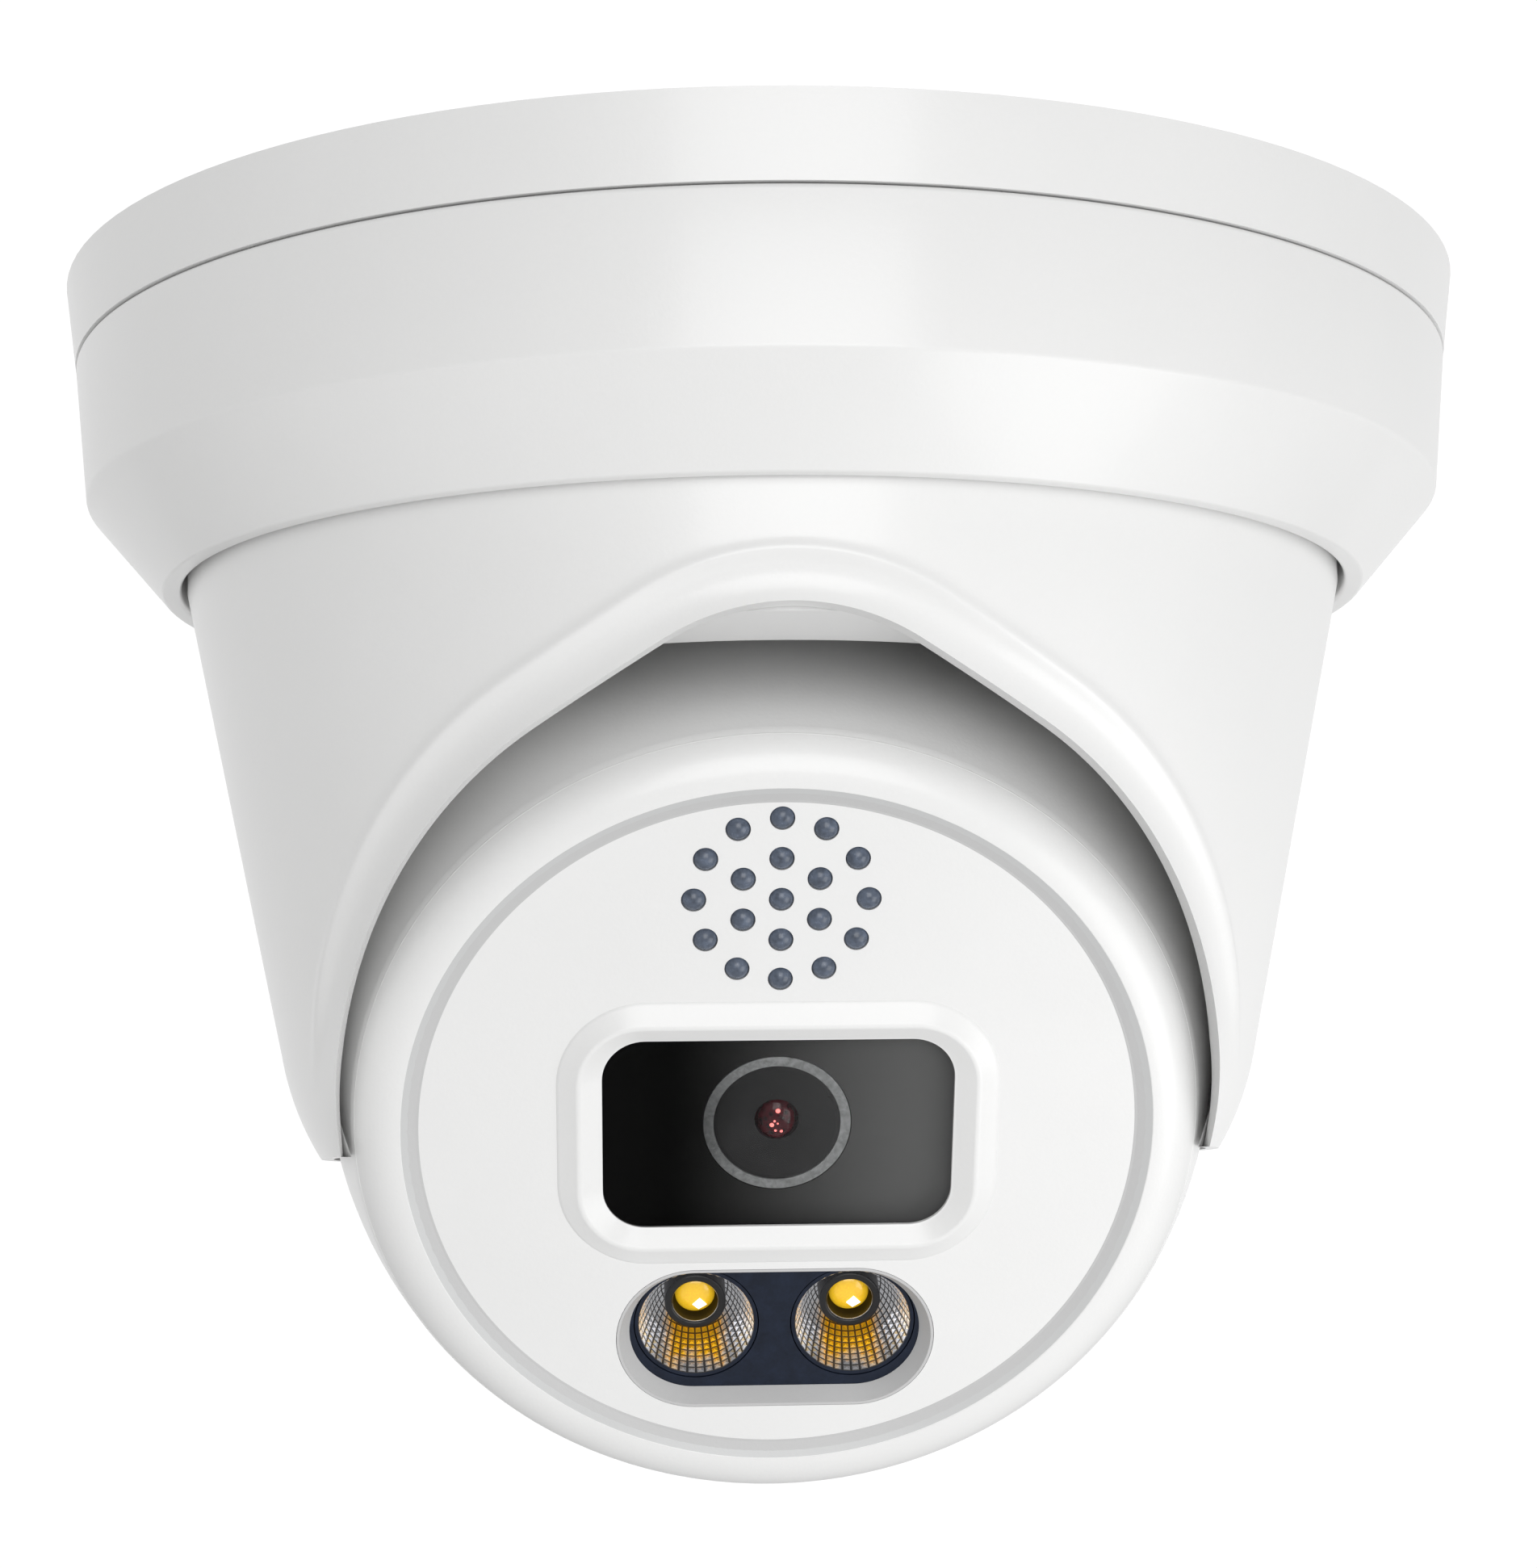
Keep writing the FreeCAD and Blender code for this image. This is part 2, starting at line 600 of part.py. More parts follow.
def build_ball_seat_ring():
    """Ring above the ball, hung from the carrier by a skirt."""
    return turned("ball_seat_ring", [
        Corner(S.seat_bore, -S.seat_depth), Corner(S.seat_outer, -S.seat_depth),
        Corner(S.seat_outer, -(S.seat_depth - S.seat_thickness)),
        Corner(S.seat_skirt_outer, -(S.seat_depth - S.seat_thickness)),
        Corner(S.seat_skirt_outer, -S.carrier_bottom),
        Corner(S.seat_skirt_inner, -S.carrier_bottom),
        Corner(S.seat_skirt_inner, -(S.seat_depth - S.seat_thickness)),
        Corner(S.seat_bore, -(S.seat_depth - S.seat_thickness)),
    ])


def build_turret_carrier():
    """Disc that turns on the base boss and carries the shroud, with its pan stop."""
    body = ring("turret_carrier", S.boss_radius + S.pan_clearance, S.carrier_radius,
                -S.carrier_bottom, -S.carrier_top)
    stop = new_sketch(body, "XY_Plane", -(S.carrier_top + 0.2))
    add_outline(stop, rectangle(-S.stop_half_width, -S.stop_outer, S.stop_half_width,
                                -S.stop_inner))
    add_pad(body, stop, 4.7)
    drill_circle(body, S.carrier_screw_circle, 45, 1.6, CARRIER_SCREWS)
    screw_group("carrier_screws", S.carrier_screw_circle, 45, CARRIER_SCREWS,
                -S.carrier_top, (2.3, 1.6), (1.2, -5.2))
    return body


def on_pivot_axis(label, corners):
    """Pair of equal pieces turned about the tilt axis, one at each side of the ball."""
    body = new_body(label, PIVOT_PLACEMENT)
    feature = add_revolution(body, [corners], axis="H_Axis")
    repeat_across(body, [feature])
    return body


def build_tilt_pivots():
    """Shoulder screws from inside the ball into the arms, with their washers and bushes."""
    on_pivot_axis("tilt_pivot_screws", [
        Corner(S.pivot_head_start, 0), Corner(S.pivot_thread_end, 0),
        Corner(S.pivot_thread_end, S.pivot_thread_radius),
        Corner(S.turret_boss_face, S.pivot_thread_radius),
        Corner(S.turret_boss_face, S.pivot_radius),
        Corner(S.bush_start - 0.1, S.pivot_radius),
        Corner(S.bush_start - 0.1, S.pivot_head_radius),
        Corner(S.pivot_head_start, S.pivot_head_radius),
    ])
    washer_low = S.bush_end + 0.05
    on_pivot_axis("tilt_friction_washers", rectangle(
        washer_low, S.pivot_radius + 0.1, S.turret_boss_face - 0.05, S.pivot_boss_radius))
    on_pivot_axis("tilt_bushes", rectangle(
        S.bush_start, S.pivot_radius + 0.05, S.bush_end, S.bush_radius))


# ---------------------------------------------------------------- ball shell (tilts)

def build_ball_rear_shell():
    """Ball wall from the front seam back to its flat rear opening."""
    inner_radius = S.ball_radius - S.ball_wall
    seal_high = S.shell_ledge_level - 0.8
    body = turned("ball_rear_shell", [
        Corner(S.rear_bore, S.rear_level),
        Corner(chord_radius(S.ball_radius, S.rear_level), S.rear_level, S.ball_radius, -1),
        Corner(chord_radius(S.ball_radius, S.shell_front_level), S.shell_front_level),
        Corner(S.shell_lip_bore, S.shell_front_level),
        Corner(S.shell_lip_bore, S.shell_ledge_level), Corner(35.6, S.shell_ledge_level),
        Corner(35.6, seal_high), Corner(34.0, seal_high), Corner(34.0, S.shell_ledge_level),
        Corner(S.shell_neck_bore, S.shell_ledge_level),
        Corner(S.shell_neck_bore, S.shell_ledge_back),
        Corner(chord_radius(inner_radius, S.shell_ledge_back), S.shell_ledge_back,
               inner_radius, 1),
        Corner(chord_radius(inner_radius, S.rear_flange_level), S.rear_flange_level),
        Corner(S.rear_bore, S.rear_flange_level),
    ], BALL_PLACEMENT)
    boss = new_sketch(body, "YZ_Plane", S.bush_start)
    add_circle(boss, 0, 0, S.pivot_boss_radius)
    boss_pad = add_pad(body, boss, 5.0)
    face = new_sketch(body, "YZ_Plane", S.ball_radius + 1.0)
    add_circle(face, 0, 0, S.pivot_boss_radius + 0.6)
    spot_face = add_pocket(body, face, S.ball_radius + 1.0 - S.bush_end)
    hole = new_sketch(body, "YZ_Plane", S.bush_end + 0.5)
    add_circle(hole, 0, 0, S.bush_radius)
    bush_hole = add_pocket(body, hole, S.bush_end - S.bush_start + 1.0)
    repeat_across(body, [boss_pad, spot_face, bush_hole])
    screw_holes = new_sketch(body, "XY_Plane", S.rear_flange_level + 1.0)
    for index in range(COVER_SCREWS):
        angle = math.radians(45 + 90 * index)
        add_circle(screw_holes, S.cover_screw_circle * math.cos(angle),
                   S.cover_screw_circle * math.sin(angle), 1.25)
    add_pocket(body, screw_holes, 6.0)
    ring("roll_seal_ring", 34.05, 35.55, seal_high,
         S.neck_flange_level - 0.1, BALL_PLACEMENT)
    return body


def build_rear_cover():
    """Flat rear cover with its seal, screws, cable gland and reset button."""
    back = S.rear_level - S.cover_thickness
    seat = S.rear_level - 0.8
    cover = turned("rear_cover", [
        Corner(0, back), Corner(chord_radius(S.ball_radius, back) - 0.2, back),
        Corner(chord_radius(S.ball_radius, S.rear_level) - 0.2, S.rear_level),
        Corner(34.4, S.rear_level), Corner(34.4, seat), Corner(33.2, seat),
        Corner(33.2, S.rear_level), Corner(0, S.rear_level),
    ], BALL_PLACEMENT)
    drill_circle(cover, S.cover_screw_circle, 45, 1.5, COVER_SCREWS)
    hole = new_sketch(cover, "XY_Plane", S.rear_level + 1.0)
    add_circle(hole, 0, S.button_height, S.button_radius + 0.1)
    add_pocket(cover, hole, 6.0)
    ring("rear_seal", 33.2, 34.4, seat, S.rear_level, BALL_PLACEMENT)
    screw_group("rear_cover_screws", S.cover_screw_circle, 45, COVER_SCREWS, back,
                (2.3, -1.5), (1.2, 5.0), BALL_PLACEMENT)
    gland = extruded("rear_gland", hexagon(S.gland_flat_radius), back - S.gland_nut_length,
                     back, BALL_PLACEMENT)
    add_post(gland, 0, 0, 4.4, back - S.gland_length, back - S.gland_nut_length)
    button = turned("reset_button", [
        Corner(0, back - 0.8), Corner(S.button_radius, back - 0.8),
        Corner(S.button_radius, S.rear_level + 0.1),
        Corner(S.button_radius + 0.8, S.rear_level + 0.1),
        Corner(S.button_radius + 0.8, S.rear_level + 0.9), Corner(0, S.rear_level + 0.9),
    ], BALL_PLACEMENT[:-1] + f") * placement(vector(0; {S.button_height.formula}; 0); "
                             "rotation(vector(1; 0; 0); 0))")
    return cover, button


def hexagon(across_corners_radius):
    """Corners of a regular hexagon about the axis."""
    return [Corner(across_corners_radius * math.cos(math.radians(60 * index)),
                   across_corners_radius * math.sin(math.radians(60 * index)))
            for index in range(6)]


def build_main_board():
    """Main circuit board on its posts behind the front module, with its parts."""
    level = S.main_board_level
    back = level - S.board_thickness
    board = ring("main_board", 0, S.main_board_radius, back, level, BALL_PLACEMENT)
    drill_circle(board, S.main_screw_circle, MAIN_BOARD_TURN, 1.3, MAIN_BOARD_SCREWS)
    posts = new_body("main_board_posts", BALL_PLACEMENT)
    turn = math.radians(MAIN_BOARD_TURN)
    post = add_post(posts, S.main_screw_circle * math.cos(turn),
                    S.main_screw_circle * math.sin(turn), 2.5, S.rear_level, back)
    repeat_round(posts, [post], MAIN_BOARD_SCREWS)
    bores = new_sketch(posts, "XY_Plane", back + 0.5)
    for index in range(MAIN_BOARD_SCREWS):
        angle = turn + math.radians(360 / MAIN_BOARD_SCREWS * index)
        add_circle(bores, S.main_screw_circle * math.cos(angle),
                   S.main_screw_circle * math.sin(angle), 1.2)
    add_pocket(posts, bores, 4.4)
    screw_group("main_board_screws", S.main_screw_circle, MAIN_BOARD_TURN,
                MAIN_BOARD_SCREWS, level,
                (2.2, 1.2), (1.15, -5.0), BALL_PLACEMENT)
    chips = new_body("main_board_chips", BALL_PLACEMENT)
    sketch = new_sketch(chips, "XY_Plane", back - 1.4)
    for x, y, half in ((-8.0, 8.0, 6.0), (9.0, 6.0, 4.0), (10.0, -8.0, 3.0)):
        add_outline(sketch, rectangle(x - half, y - half, x + half, y + half))
    add_pad(chips, sketch, 1.4)


# ---------------------------------------------------------------- front module (rolls)

def build_front_housing():
    """Cup that turns in the ball's neck and ends in the white rim round the face."""
    housing = turned("front_housing", [
        Corner(S.lead_hole, S.housing_back), Corner(S.neck_radius, S.housing_back),
        Corner(S.neck_radius, S.clip_low), Corner(S.clip_groove, S.clip_low),
        Corner(S.clip_groove, S.clip_high), Corner(S.neck_radius, S.clip_high),
        Corner(S.neck_radius, S.neck_flange_level), Corner(S.neck_flange, S.neck_flange_level),
        Corner(S.neck_flange, S.crease_level), Corner(S.rim_radius, S.crease_level, S.rim_curve, -1),
        Corner(S.groove_outer, S.face_level), Corner(S.recess_radius, S.plate_level),
        Corner(S.recess_radius, S.ledge_level), Corner(S.housing_bore, S.ledge_level),
        Corner(S.housing_bore, S.housing_floor), Corner(S.lead_hole, S.housing_floor),
    ], BALL_PLACEMENT)
    clip = ring("roll_circlip", S.clip_groove, S.neck_radius + 2.0, S.clip_low + 0.05,
                S.clip_high - 0.05, BALL_PLACEMENT)
    gap = new_sketch(clip, "XY_Plane", S.clip_high)
    add_outline(gap, rectangle(-2.5, 25.0, 2.5, 40.0))
    add_pocket(clip, gap, 2.0)
    ring("face_seal", 31.2, 33.6, S.ledge_level, S.plate_back, BALL_PLACEMENT)
    return housing


def build_face_plate():
    """Disc in front of the optics, with the window, light and speaker openings."""
    plate = ring("face_plate", 0, S.plate_radius, S.plate_back, S.plate_level, BALL_PLACEMENT)
    depth = S.plate_level - S.plate_back + 1.0
    above = S.plate_level + 0.5
    cut_outline(plate, rounded_rectangle(
        S.pane_half_width + S.pane_gap, S.pane_half_height + S.pane_gap,
        S.pane_corner + S.pane_gap), above, depth)
    cut_outline(plate, stadium(S.light_half_width, S.light_half_height, S.light_centre),
                above, depth)
    holes = new_sketch(plate, "XY_Plane", above)
    add_circle(holes, 0, S.speaker_centre, S.speaker_hole_radius)
    for alias, count in SPEAKER_RINGS:
        circle = getattr(S, alias)
        for index in range(count):
            angle = math.radians(90 + 360 / count * index)
            across = 0.0 if index * 2 in (0, count) else circle * math.cos(angle)
            add_circle(holes, across, S.speaker_centre + circle * math.sin(angle),
                       S.speaker_hole_radius)
    add_pocket(plate, holes, depth)
    return plate


def build_window():
    """Raised frame round the window, its smoked pane and the black mask behind it."""
    bezel = new_body("window_bezel", BALL_PLACEMENT)
    crest = rounded_rectangle(S.crest_half_width, S.crest_half_height, S.crest_corner)
    add_loft(bezel, rounded_rectangle(S.foot_half_width, S.foot_half_height, S.foot_corner),
             S.plate_level, crest, S.crest_level, "AdditiveLoft")
    add_loft(bezel, rounded_rectangle(S.window_half_width, S.window_half_height,
                                      S.window_corner),
             S.plate_level, crest, S.crest_level, "SubtractiveLoft")
    pane = rounded_rectangle(S.pane_half_width, S.pane_half_height, S.pane_corner)
    extruded("window_glass", pane, S.pane_back, S.plate_level - 0.05, BALL_PLACEMENT)
    mask = extruded("window_mask", pane, S.mask_back, S.pane_back - 0.05, BALL_PLACEMENT)
    cut_hole(mask, 0, 0, S.lens_ring_outer + 0.1, S.pane_back, 2.0)


def build_lens():
    """Lens: front ring, hood, barrel with its glass, holder, filter and sensor."""
    hood_back = S.barrel_front + 0.1
    ring("lens_front_ring", S.lens_ring_inner, S.lens_ring_outer, S.barrel_front - 0.9,
         S.lens_ring_level, BALL_PLACEMENT)
    turned("lens_hood", [
        Corner(S.front_lens_radius + 0.05, hood_back), Corner(S.barrel_radius, hood_back),
        Corner(S.barrel_radius, S.lens_ring_level - 0.1),
        Corner(S.barrel_radius - 0.35, S.lens_ring_level - 0.1),
        Corner(S.front_lens_radius + 0.05, hood_back + 0.7),
    ], BALL_PLACEMENT)
    turned("front_lens", [
        Corner(0, hood_back), Corner(S.front_lens_radius, hood_back),
        Corner(S.front_lens_radius, hood_back + 0.45, 4.2, -1),
        Corner(LENS_FLAT, hood_back + 0.95), Corner(0, hood_back + 0.95),
    ], BALL_PLACEMENT)
    ring("lens_barrel", S.barrel_bore, S.barrel_radius, S.barrel_back, S.barrel_front,
         BALL_PLACEMENT)
    elements = new_body("lens_elements", BALL_PLACEMENT)
    add_revolution(elements, [lens_section(level) for level in (6.0, 9.5, 13.0)])
    holder = extruded("lens_holder", square(S.holder_half_width), 0, S.holder_height,
                      BALL_PLACEMENT)
    cut_outline(holder, square(5.2), 2.6, 3.6)
    cut_hole(holder, 0, 0, S.barrel_radius + 0.05, S.holder_height + 0.5, 5.1)
    cut_hole(holder, 0, 0, 4.2, S.holder_height, 6.0)
    extruded("ir_cut_filter", square(4.6), 2.2, 2.6, BALL_PLACEMENT)
    extruded("image_sensor", rectangle(-4.0, -3.2, 4.0, 3.2), 0, 1.3, BALL_PLACEMENT)


def square(half_width):
    """Corners of a square about the axis."""
    half_width = as_size(half_width)
    return rectangle(-half_width, -half_width, half_width, half_width)


def lens_section(level):
    """Half section of one biconvex element centred on a level."""
    edge = S.barrel_bore - 0.05
    return [
        Corner(0, level - 1.3), Corner(LENS_FLAT, level - 1.3, 12.0, -1),
        Corner(edge, level - 0.4), Corner(edge, level + 0.4, 12.0, -1),
        Corner(LENS_FLAT, level + 1.3), Corner(0, level + 1.3),
    ]


def build_sensor_board():
    """Sensor board on four posts in the housing, its screws and the lead on the axis."""
    board = ring("sensor_board", 0, S.board_radius, -S.board_thickness, 0, BALL_PLACEMENT)
    drill_circle(board, S.board_screw_circle, 45, 1.3, BOARD_SCREWS)
    posts = new_body("sensor_board_posts", BALL_PLACEMENT)
    turn = math.radians(45)
    post = add_post(posts, S.board_screw_circle * math.cos(turn),
                    S.board_screw_circle * math.sin(turn), 2.5, S.housing_floor,
                    -S.board_thickness)
    bore = cut_hole(posts, S.board_screw_circle * math.cos(turn),
                    S.board_screw_circle * math.sin(turn), 1.2, -1.0, 3.9)
    repeat_round(posts, [post, bore], BOARD_SCREWS)
    screw_group("sensor_board_screws", S.board_screw_circle, 45, BOARD_SCREWS, 0,
                (2.2, 1.4), (1.15, -4.5), BALL_PLACEMENT)
    ring("roll_lead", 0, 1.5, S.main_board_level + 0.1, -S.board_thickness, BALL_PLACEMENT)


def build_lights():
    """Light recess: sloped bezel, dark housing, two cups, their chips, board and sink."""
    bezel = extruded("light_bezel", stadium(S.light_half_width - 0.05,
                                            S.light_half_height - 0.05, S.light_centre),
                     S.plate_back, S.plate_level, BALL_PLACEMENT)
    add_loft(bezel, stadium(S.light_half_width - S.light_step,
                            S.light_half_height - S.light_step, S.light_centre),
             S.plate_back - 0.01, stadium(S.light_half_width - 0.3,
                                          S.light_half_height - 0.3, S.light_centre),
             S.plate_level + 0.01, "SubtractiveLoft")
    slot = stadium(S.light_half_width - 0.1, S.light_half_height - 0.1, S.light_centre)
    housing = extruded("light_housing", slot, S.cup_floor - 0.2, S.plate_back - 0.05,
                       BALL_PLACEMENT)
    right = cut_hole(housing, S.cup_across, S.cup_centre, S.cup_radius + 0.05,
                     S.plate_back, 10.0)
    repeat_across(housing, [right])
    cups = new_body("light_cups", BALL_PLACEMENT)
    post = add_post(cups, S.cup_across, S.cup_centre, S.cup_radius, S.cup_floor,
                    S.plate_back - 0.1)
    low = new_sketch(cups, "XY_Plane", S.cup_floor - 0.01)
    add_circle(low, S.cup_across, S.cup_centre, S.cup_throat)
    high = new_sketch(cups, "XY_Plane", S.plate_back - 0.09)
    add_circle(high, S.cup_across, S.cup_centre, S.cup_mouth)
    cone = cups.newObject("PartDesign::SubtractiveLoft", "light_cups_cone")
    cone.Profile = low
    cone.Sections = [high]
    document.recompute()
    repeat_across(cups, [post, cone])
    chips = new_body("light_chips", BALL_PLACEMENT)
    sketch = new_sketch(chips, "XY_Plane", S.cup_floor - 0.2)
    add_outline(sketch, rectangle(S.cup_across - 1.75, S.cup_centre - 1.75,
                                  S.cup_across + 1.75, S.cup_centre + 1.75))
    repeat_across(chips, [add_pad(chips, sketch, 0.9)])
    extruded("light_board", slot, S.light_board_back, S.cup_floor - 0.2, BALL_PLACEMENT)
    extruded("light_heat_sink", stadium(14.0, 6.4, S.light_centre),
             S.light_board_back - 4.0, S.light_board_back, BALL_PLACEMENT)


def build_speaker():
    """Small loudspeaker behind the holes, with its gasket and dust mesh."""
    centre = S.speaker_body_centre
    speaker = new_body("speaker", BALL_PLACEMENT)
    add_post(speaker, 0, centre, S.speaker_radius, 9.0, 15.0)
    gasket = new_body("speaker_gasket", BALL_PLACEMENT)
    add_post(gasket, 0, centre, S.speaker_radius - 0.3, 15.0, S.ledge_level + 0.1)
    cut_hole(gasket, 0, centre, S.speaker_radius - 1.6, 19.0, 6.0)
    mesh = new_body("speaker_mesh", BALL_PLACEMENT)
    add_post(mesh, 0, S.speaker_centre - 2.4, 8.9, S.ledge_level + 0.15, S.plate_back - 0.02)


# ---------------------------------------------------------------- internal lead

def tube_along(points, radius):
    """Round lead along straight runs that are joined by tangent arcs."""
    edges = []
    here = points[0]
    for before, corner, after in zip(points, points[1:], points[2:]):
        inward = (before - corner).normalize()
        outward = (after - corner).normalize()
        half_turn = (math.pi - inward.getAngle(outward)) / 2
        setback = 0.45 * min((before - corner).Length, (after - corner).Length)
        bend = setback / math.tan(half_turn)
        print(f"harness bend radius {bend:.1f} mm")
        first = corner + inward * setback
        last = corner + outward * setback
        middle = (inward + outward).normalize()
        crown = corner + middle * (bend / math.cos(half_turn) - bend)
        edges.append(Part.LineSegment(here, first).toShape())
        edges.append(Part.Arc(first, crown, last).toShape())
        here = last
    edges.append(Part.LineSegment(here, points[-1]).toShape())
    path = Part.Wire(edges)
    start = (points[1] - points[0]).normalize()
    section = Part.Wire([Part.makeCircle(radius, points[0], start)])
    tube = path.makePipeShell([section], True, False)
    ideal = math.pi * radius ** 2 * path.Length
    if abs(tube.Volume - ideal) > 0.02 * ideal:
        raise RuntimeError("the lead's solid does not match its path")
    return tube


def build_harness():
    """Lead from the rear gland, round behind the ball, up to the socket in the base."""
    tilt = math.radians(DIMENSIONS["rest_tilt"])
    behind = FreeCAD.Vector(0, math.cos(tilt), math.sin(tilt))
    centre = FreeCAD.Vector(0, 0, -DIMENSIONS["ball_depth"])
    reach = DIMENSIONS["gland_length"] + DIMENSIONS["cover_thickness"]
    gland_tip = centre + behind * (reach - DIMENSIONS["rear_level"])
    route = [
        gland_tip, gland_tip + behind * 7.0, FreeCAD.Vector(0, 36.0, -43.5),
        FreeCAD.Vector(0, 29.0, -33.2), FreeCAD.Vector(0, 15.0, -28.2),
        FreeCAD.Vector(0, 0, -27.7), FreeCAD.Vector(0, 0, -DIMENSIONS["socket_bottom"]),
    ]
    lead = document.addObject("Part::Feature", "harness_lead")
    lead.Label = "harness_lead"
    lead.Shape = tube_along(route, DIMENSIONS["harness_radius"])
    lead.Placement = FreeCAD.Placement()
    pieces.append(lead)


# ---------------------------------------------------------------- whole camera

def build_camera():
    """Build every piece."""
    fill_sheet()
    base = build_mounting_base()
    build_base_rings()
    trim = build_trim_ring()
    build_trim_lock_screw(base, trim)
    build_pan_bearing()
    build_turret_shroud()
    build_ball_seat_ring()
    build_turret_carrier()
    build_tilt_pivots()
    build_ball_rear_shell()
    build_rear_cover()
    build_main_board()
    build_front_housing()
    build_face_plate()
    build_window()
    build_lens()
    build_sensor_board()
    build_lights()
    build_speaker()
    build_harness()


def check_document():
    """Stop if any object failed or any piece is not a sound solid."""
    document.recompute()
    for item in document.Objects:
        if "Invalid" in item.State or "Error" in item.State:
            raise RuntimeError(f"{item.Label} failed: {item.State}")
    for piece in pieces:
        shape = piece.Shape
        if shape.isNull() or not shape.isValid() or not shape.Solids:
            raise RuntimeError(f"{piece.Label} is not a valid solid")


def export_pieces():
    """Write one STEP file for each piece."""
    os.makedirs("parts", exist_ok=True)
    for piece in pieces:
        piece.Shape.exportStep(os.path.join("parts", piece.Label + ".step"))
        print(f"{piece.Label}: {len(piece.Shape.Solids)} solid(s), "
              f"{piece.Shape.Volume / 1000:.2f} cm3")


build_camera()
check_document()
export_pieces()
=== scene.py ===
"""Studio model of a ceiling turret camera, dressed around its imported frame."""

import json
import logging
import math
from dataclasses import dataclass
from enum import Enum
from typing import Any, Callable, Iterable, Sequence

import bpy
import numpy as np
from mathutils import Matrix, Vector


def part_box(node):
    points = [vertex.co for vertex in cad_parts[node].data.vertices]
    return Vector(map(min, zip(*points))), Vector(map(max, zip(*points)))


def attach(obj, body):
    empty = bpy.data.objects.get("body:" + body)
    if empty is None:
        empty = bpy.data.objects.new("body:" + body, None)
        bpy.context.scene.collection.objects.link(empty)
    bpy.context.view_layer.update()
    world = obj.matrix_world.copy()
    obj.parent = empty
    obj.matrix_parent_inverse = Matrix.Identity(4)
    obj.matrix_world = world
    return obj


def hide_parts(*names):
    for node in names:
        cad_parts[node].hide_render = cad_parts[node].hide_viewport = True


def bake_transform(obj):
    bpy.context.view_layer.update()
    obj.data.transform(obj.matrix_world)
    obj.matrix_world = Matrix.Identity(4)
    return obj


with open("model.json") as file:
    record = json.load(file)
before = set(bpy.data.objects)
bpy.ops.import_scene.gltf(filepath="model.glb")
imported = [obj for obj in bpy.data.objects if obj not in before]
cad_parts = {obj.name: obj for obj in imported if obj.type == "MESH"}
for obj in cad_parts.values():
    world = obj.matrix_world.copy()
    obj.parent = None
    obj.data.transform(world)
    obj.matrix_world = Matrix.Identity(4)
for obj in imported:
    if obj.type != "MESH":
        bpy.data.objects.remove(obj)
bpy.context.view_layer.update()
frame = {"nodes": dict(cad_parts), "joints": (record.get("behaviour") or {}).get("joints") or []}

MM = 0.001
FULL_TURN = 2 * math.pi
SHARP_EDGE = 32.0
COAT_ROUGHNESS = 0.16
FINE_GRAIN = 2600.0
GRAIN_DEPTH = 0.000012
GRAIN_ROUGHNESS = 0.06
WHITE = (0.80, 0.80, 0.795)
PANE_HALF_WIDTH = 17.4 * MM
Point2 = tuple[float, float]
Colour = tuple[float, float, float]
Skin = tuple[np.ndarray, list[list[int]]]

logging.basicConfig(level=logging.INFO, format="%(levelname)s %(name)s: %(message)s")
log = logging.getLogger("turret_camera")


# ---------------------------------------------------------------- shader graph

class Sum(Enum):
    """Operations of a Math node."""

    ADD = "ADD"
    LESS = "SUBTRACT"
    TIMES = "MULTIPLY"
    OVER = "DIVIDE"
    POWER = "POWER"
    ABOVE = "GREATER_THAN"
    SINE = "SINE"
    TURN = "ARCTAN2"
    REST = "FRACT"
    SIZE = "ABSOLUTE"


class Cells(Enum):
    """Which distance a cell pattern gives."""

    CENTRE = "F1"
    EDGE = "DISTANCE_TO_EDGE"


def sign(operation: Sum, reflected: bool = False) -> Callable[["Value", Any], "Value"]:
    """Method of an arithmetic sign, which adds one Math node.

    Args:
        operation: What the sign does.
        reflected: True if the value is the second operand.

    Returns:
        The method.
    """
    def method(value: "Value", other: Any) -> "Value":
        """Put the two operands in their order."""
        first, second = (other, value) if reflected else (value, other)
        return value.math(operation, first, second)
    return method


class Value:
    """One shader value; arithmetic on it adds Math nodes to its graph."""

    __add__, __radd__ = sign(Sum.ADD), sign(Sum.ADD, True)
    __sub__, __rsub__ = sign(Sum.LESS), sign(Sum.LESS, True)
    __mul__, __rmul__ = sign(Sum.TIMES), sign(Sum.TIMES, True)
    __truediv__, __pow__ = sign(Sum.OVER), sign(Sum.POWER)

    def __init__(self, graph: "Nodes", socket: bpy.types.NodeSocket) -> None:
        """Keep the socket and the graph it belongs to."""
        self.graph = graph
        self.socket = socket

    def math(self, operation: Sum, first: Any, second: Any = None) -> "Value":
        """Add one Math node.

        Args:
            operation: The node's operation.
            first: The first operand, a Value or a number.
            second: The second operand, if the operation has one.

        Returns:
            The node's result.
        """
        inputs = {0: first} if second is None else {0: first, 1: second}
        return self.graph.make("ShaderNodeMath", {"operation": operation.value}, inputs, 0)

    def above(self, level: float) -> "Value":
        """One where the value is over the level, and zero elsewhere."""
        return self.math(Sum.ABOVE, self, level)

    def wave(self) -> "Value":
        """Sine of the value."""
        return self.math(Sum.SINE, self)

    def turn_from(self, other: "Value") -> "Value":
        """Angle whose sine side is this value and whose cosine side is the other."""
        return self.math(Sum.TURN, self, other)

    def near_whole(self, share: float) -> "Value":
        """One within a share of a step from a whole number, and zero elsewhere."""
        return (self.math(Sum.REST, self) - 0.5).size().above(0.5 - share)

    def size(self) -> "Value":
        """Absolute value."""
        return self.math(Sum.SIZE, self)


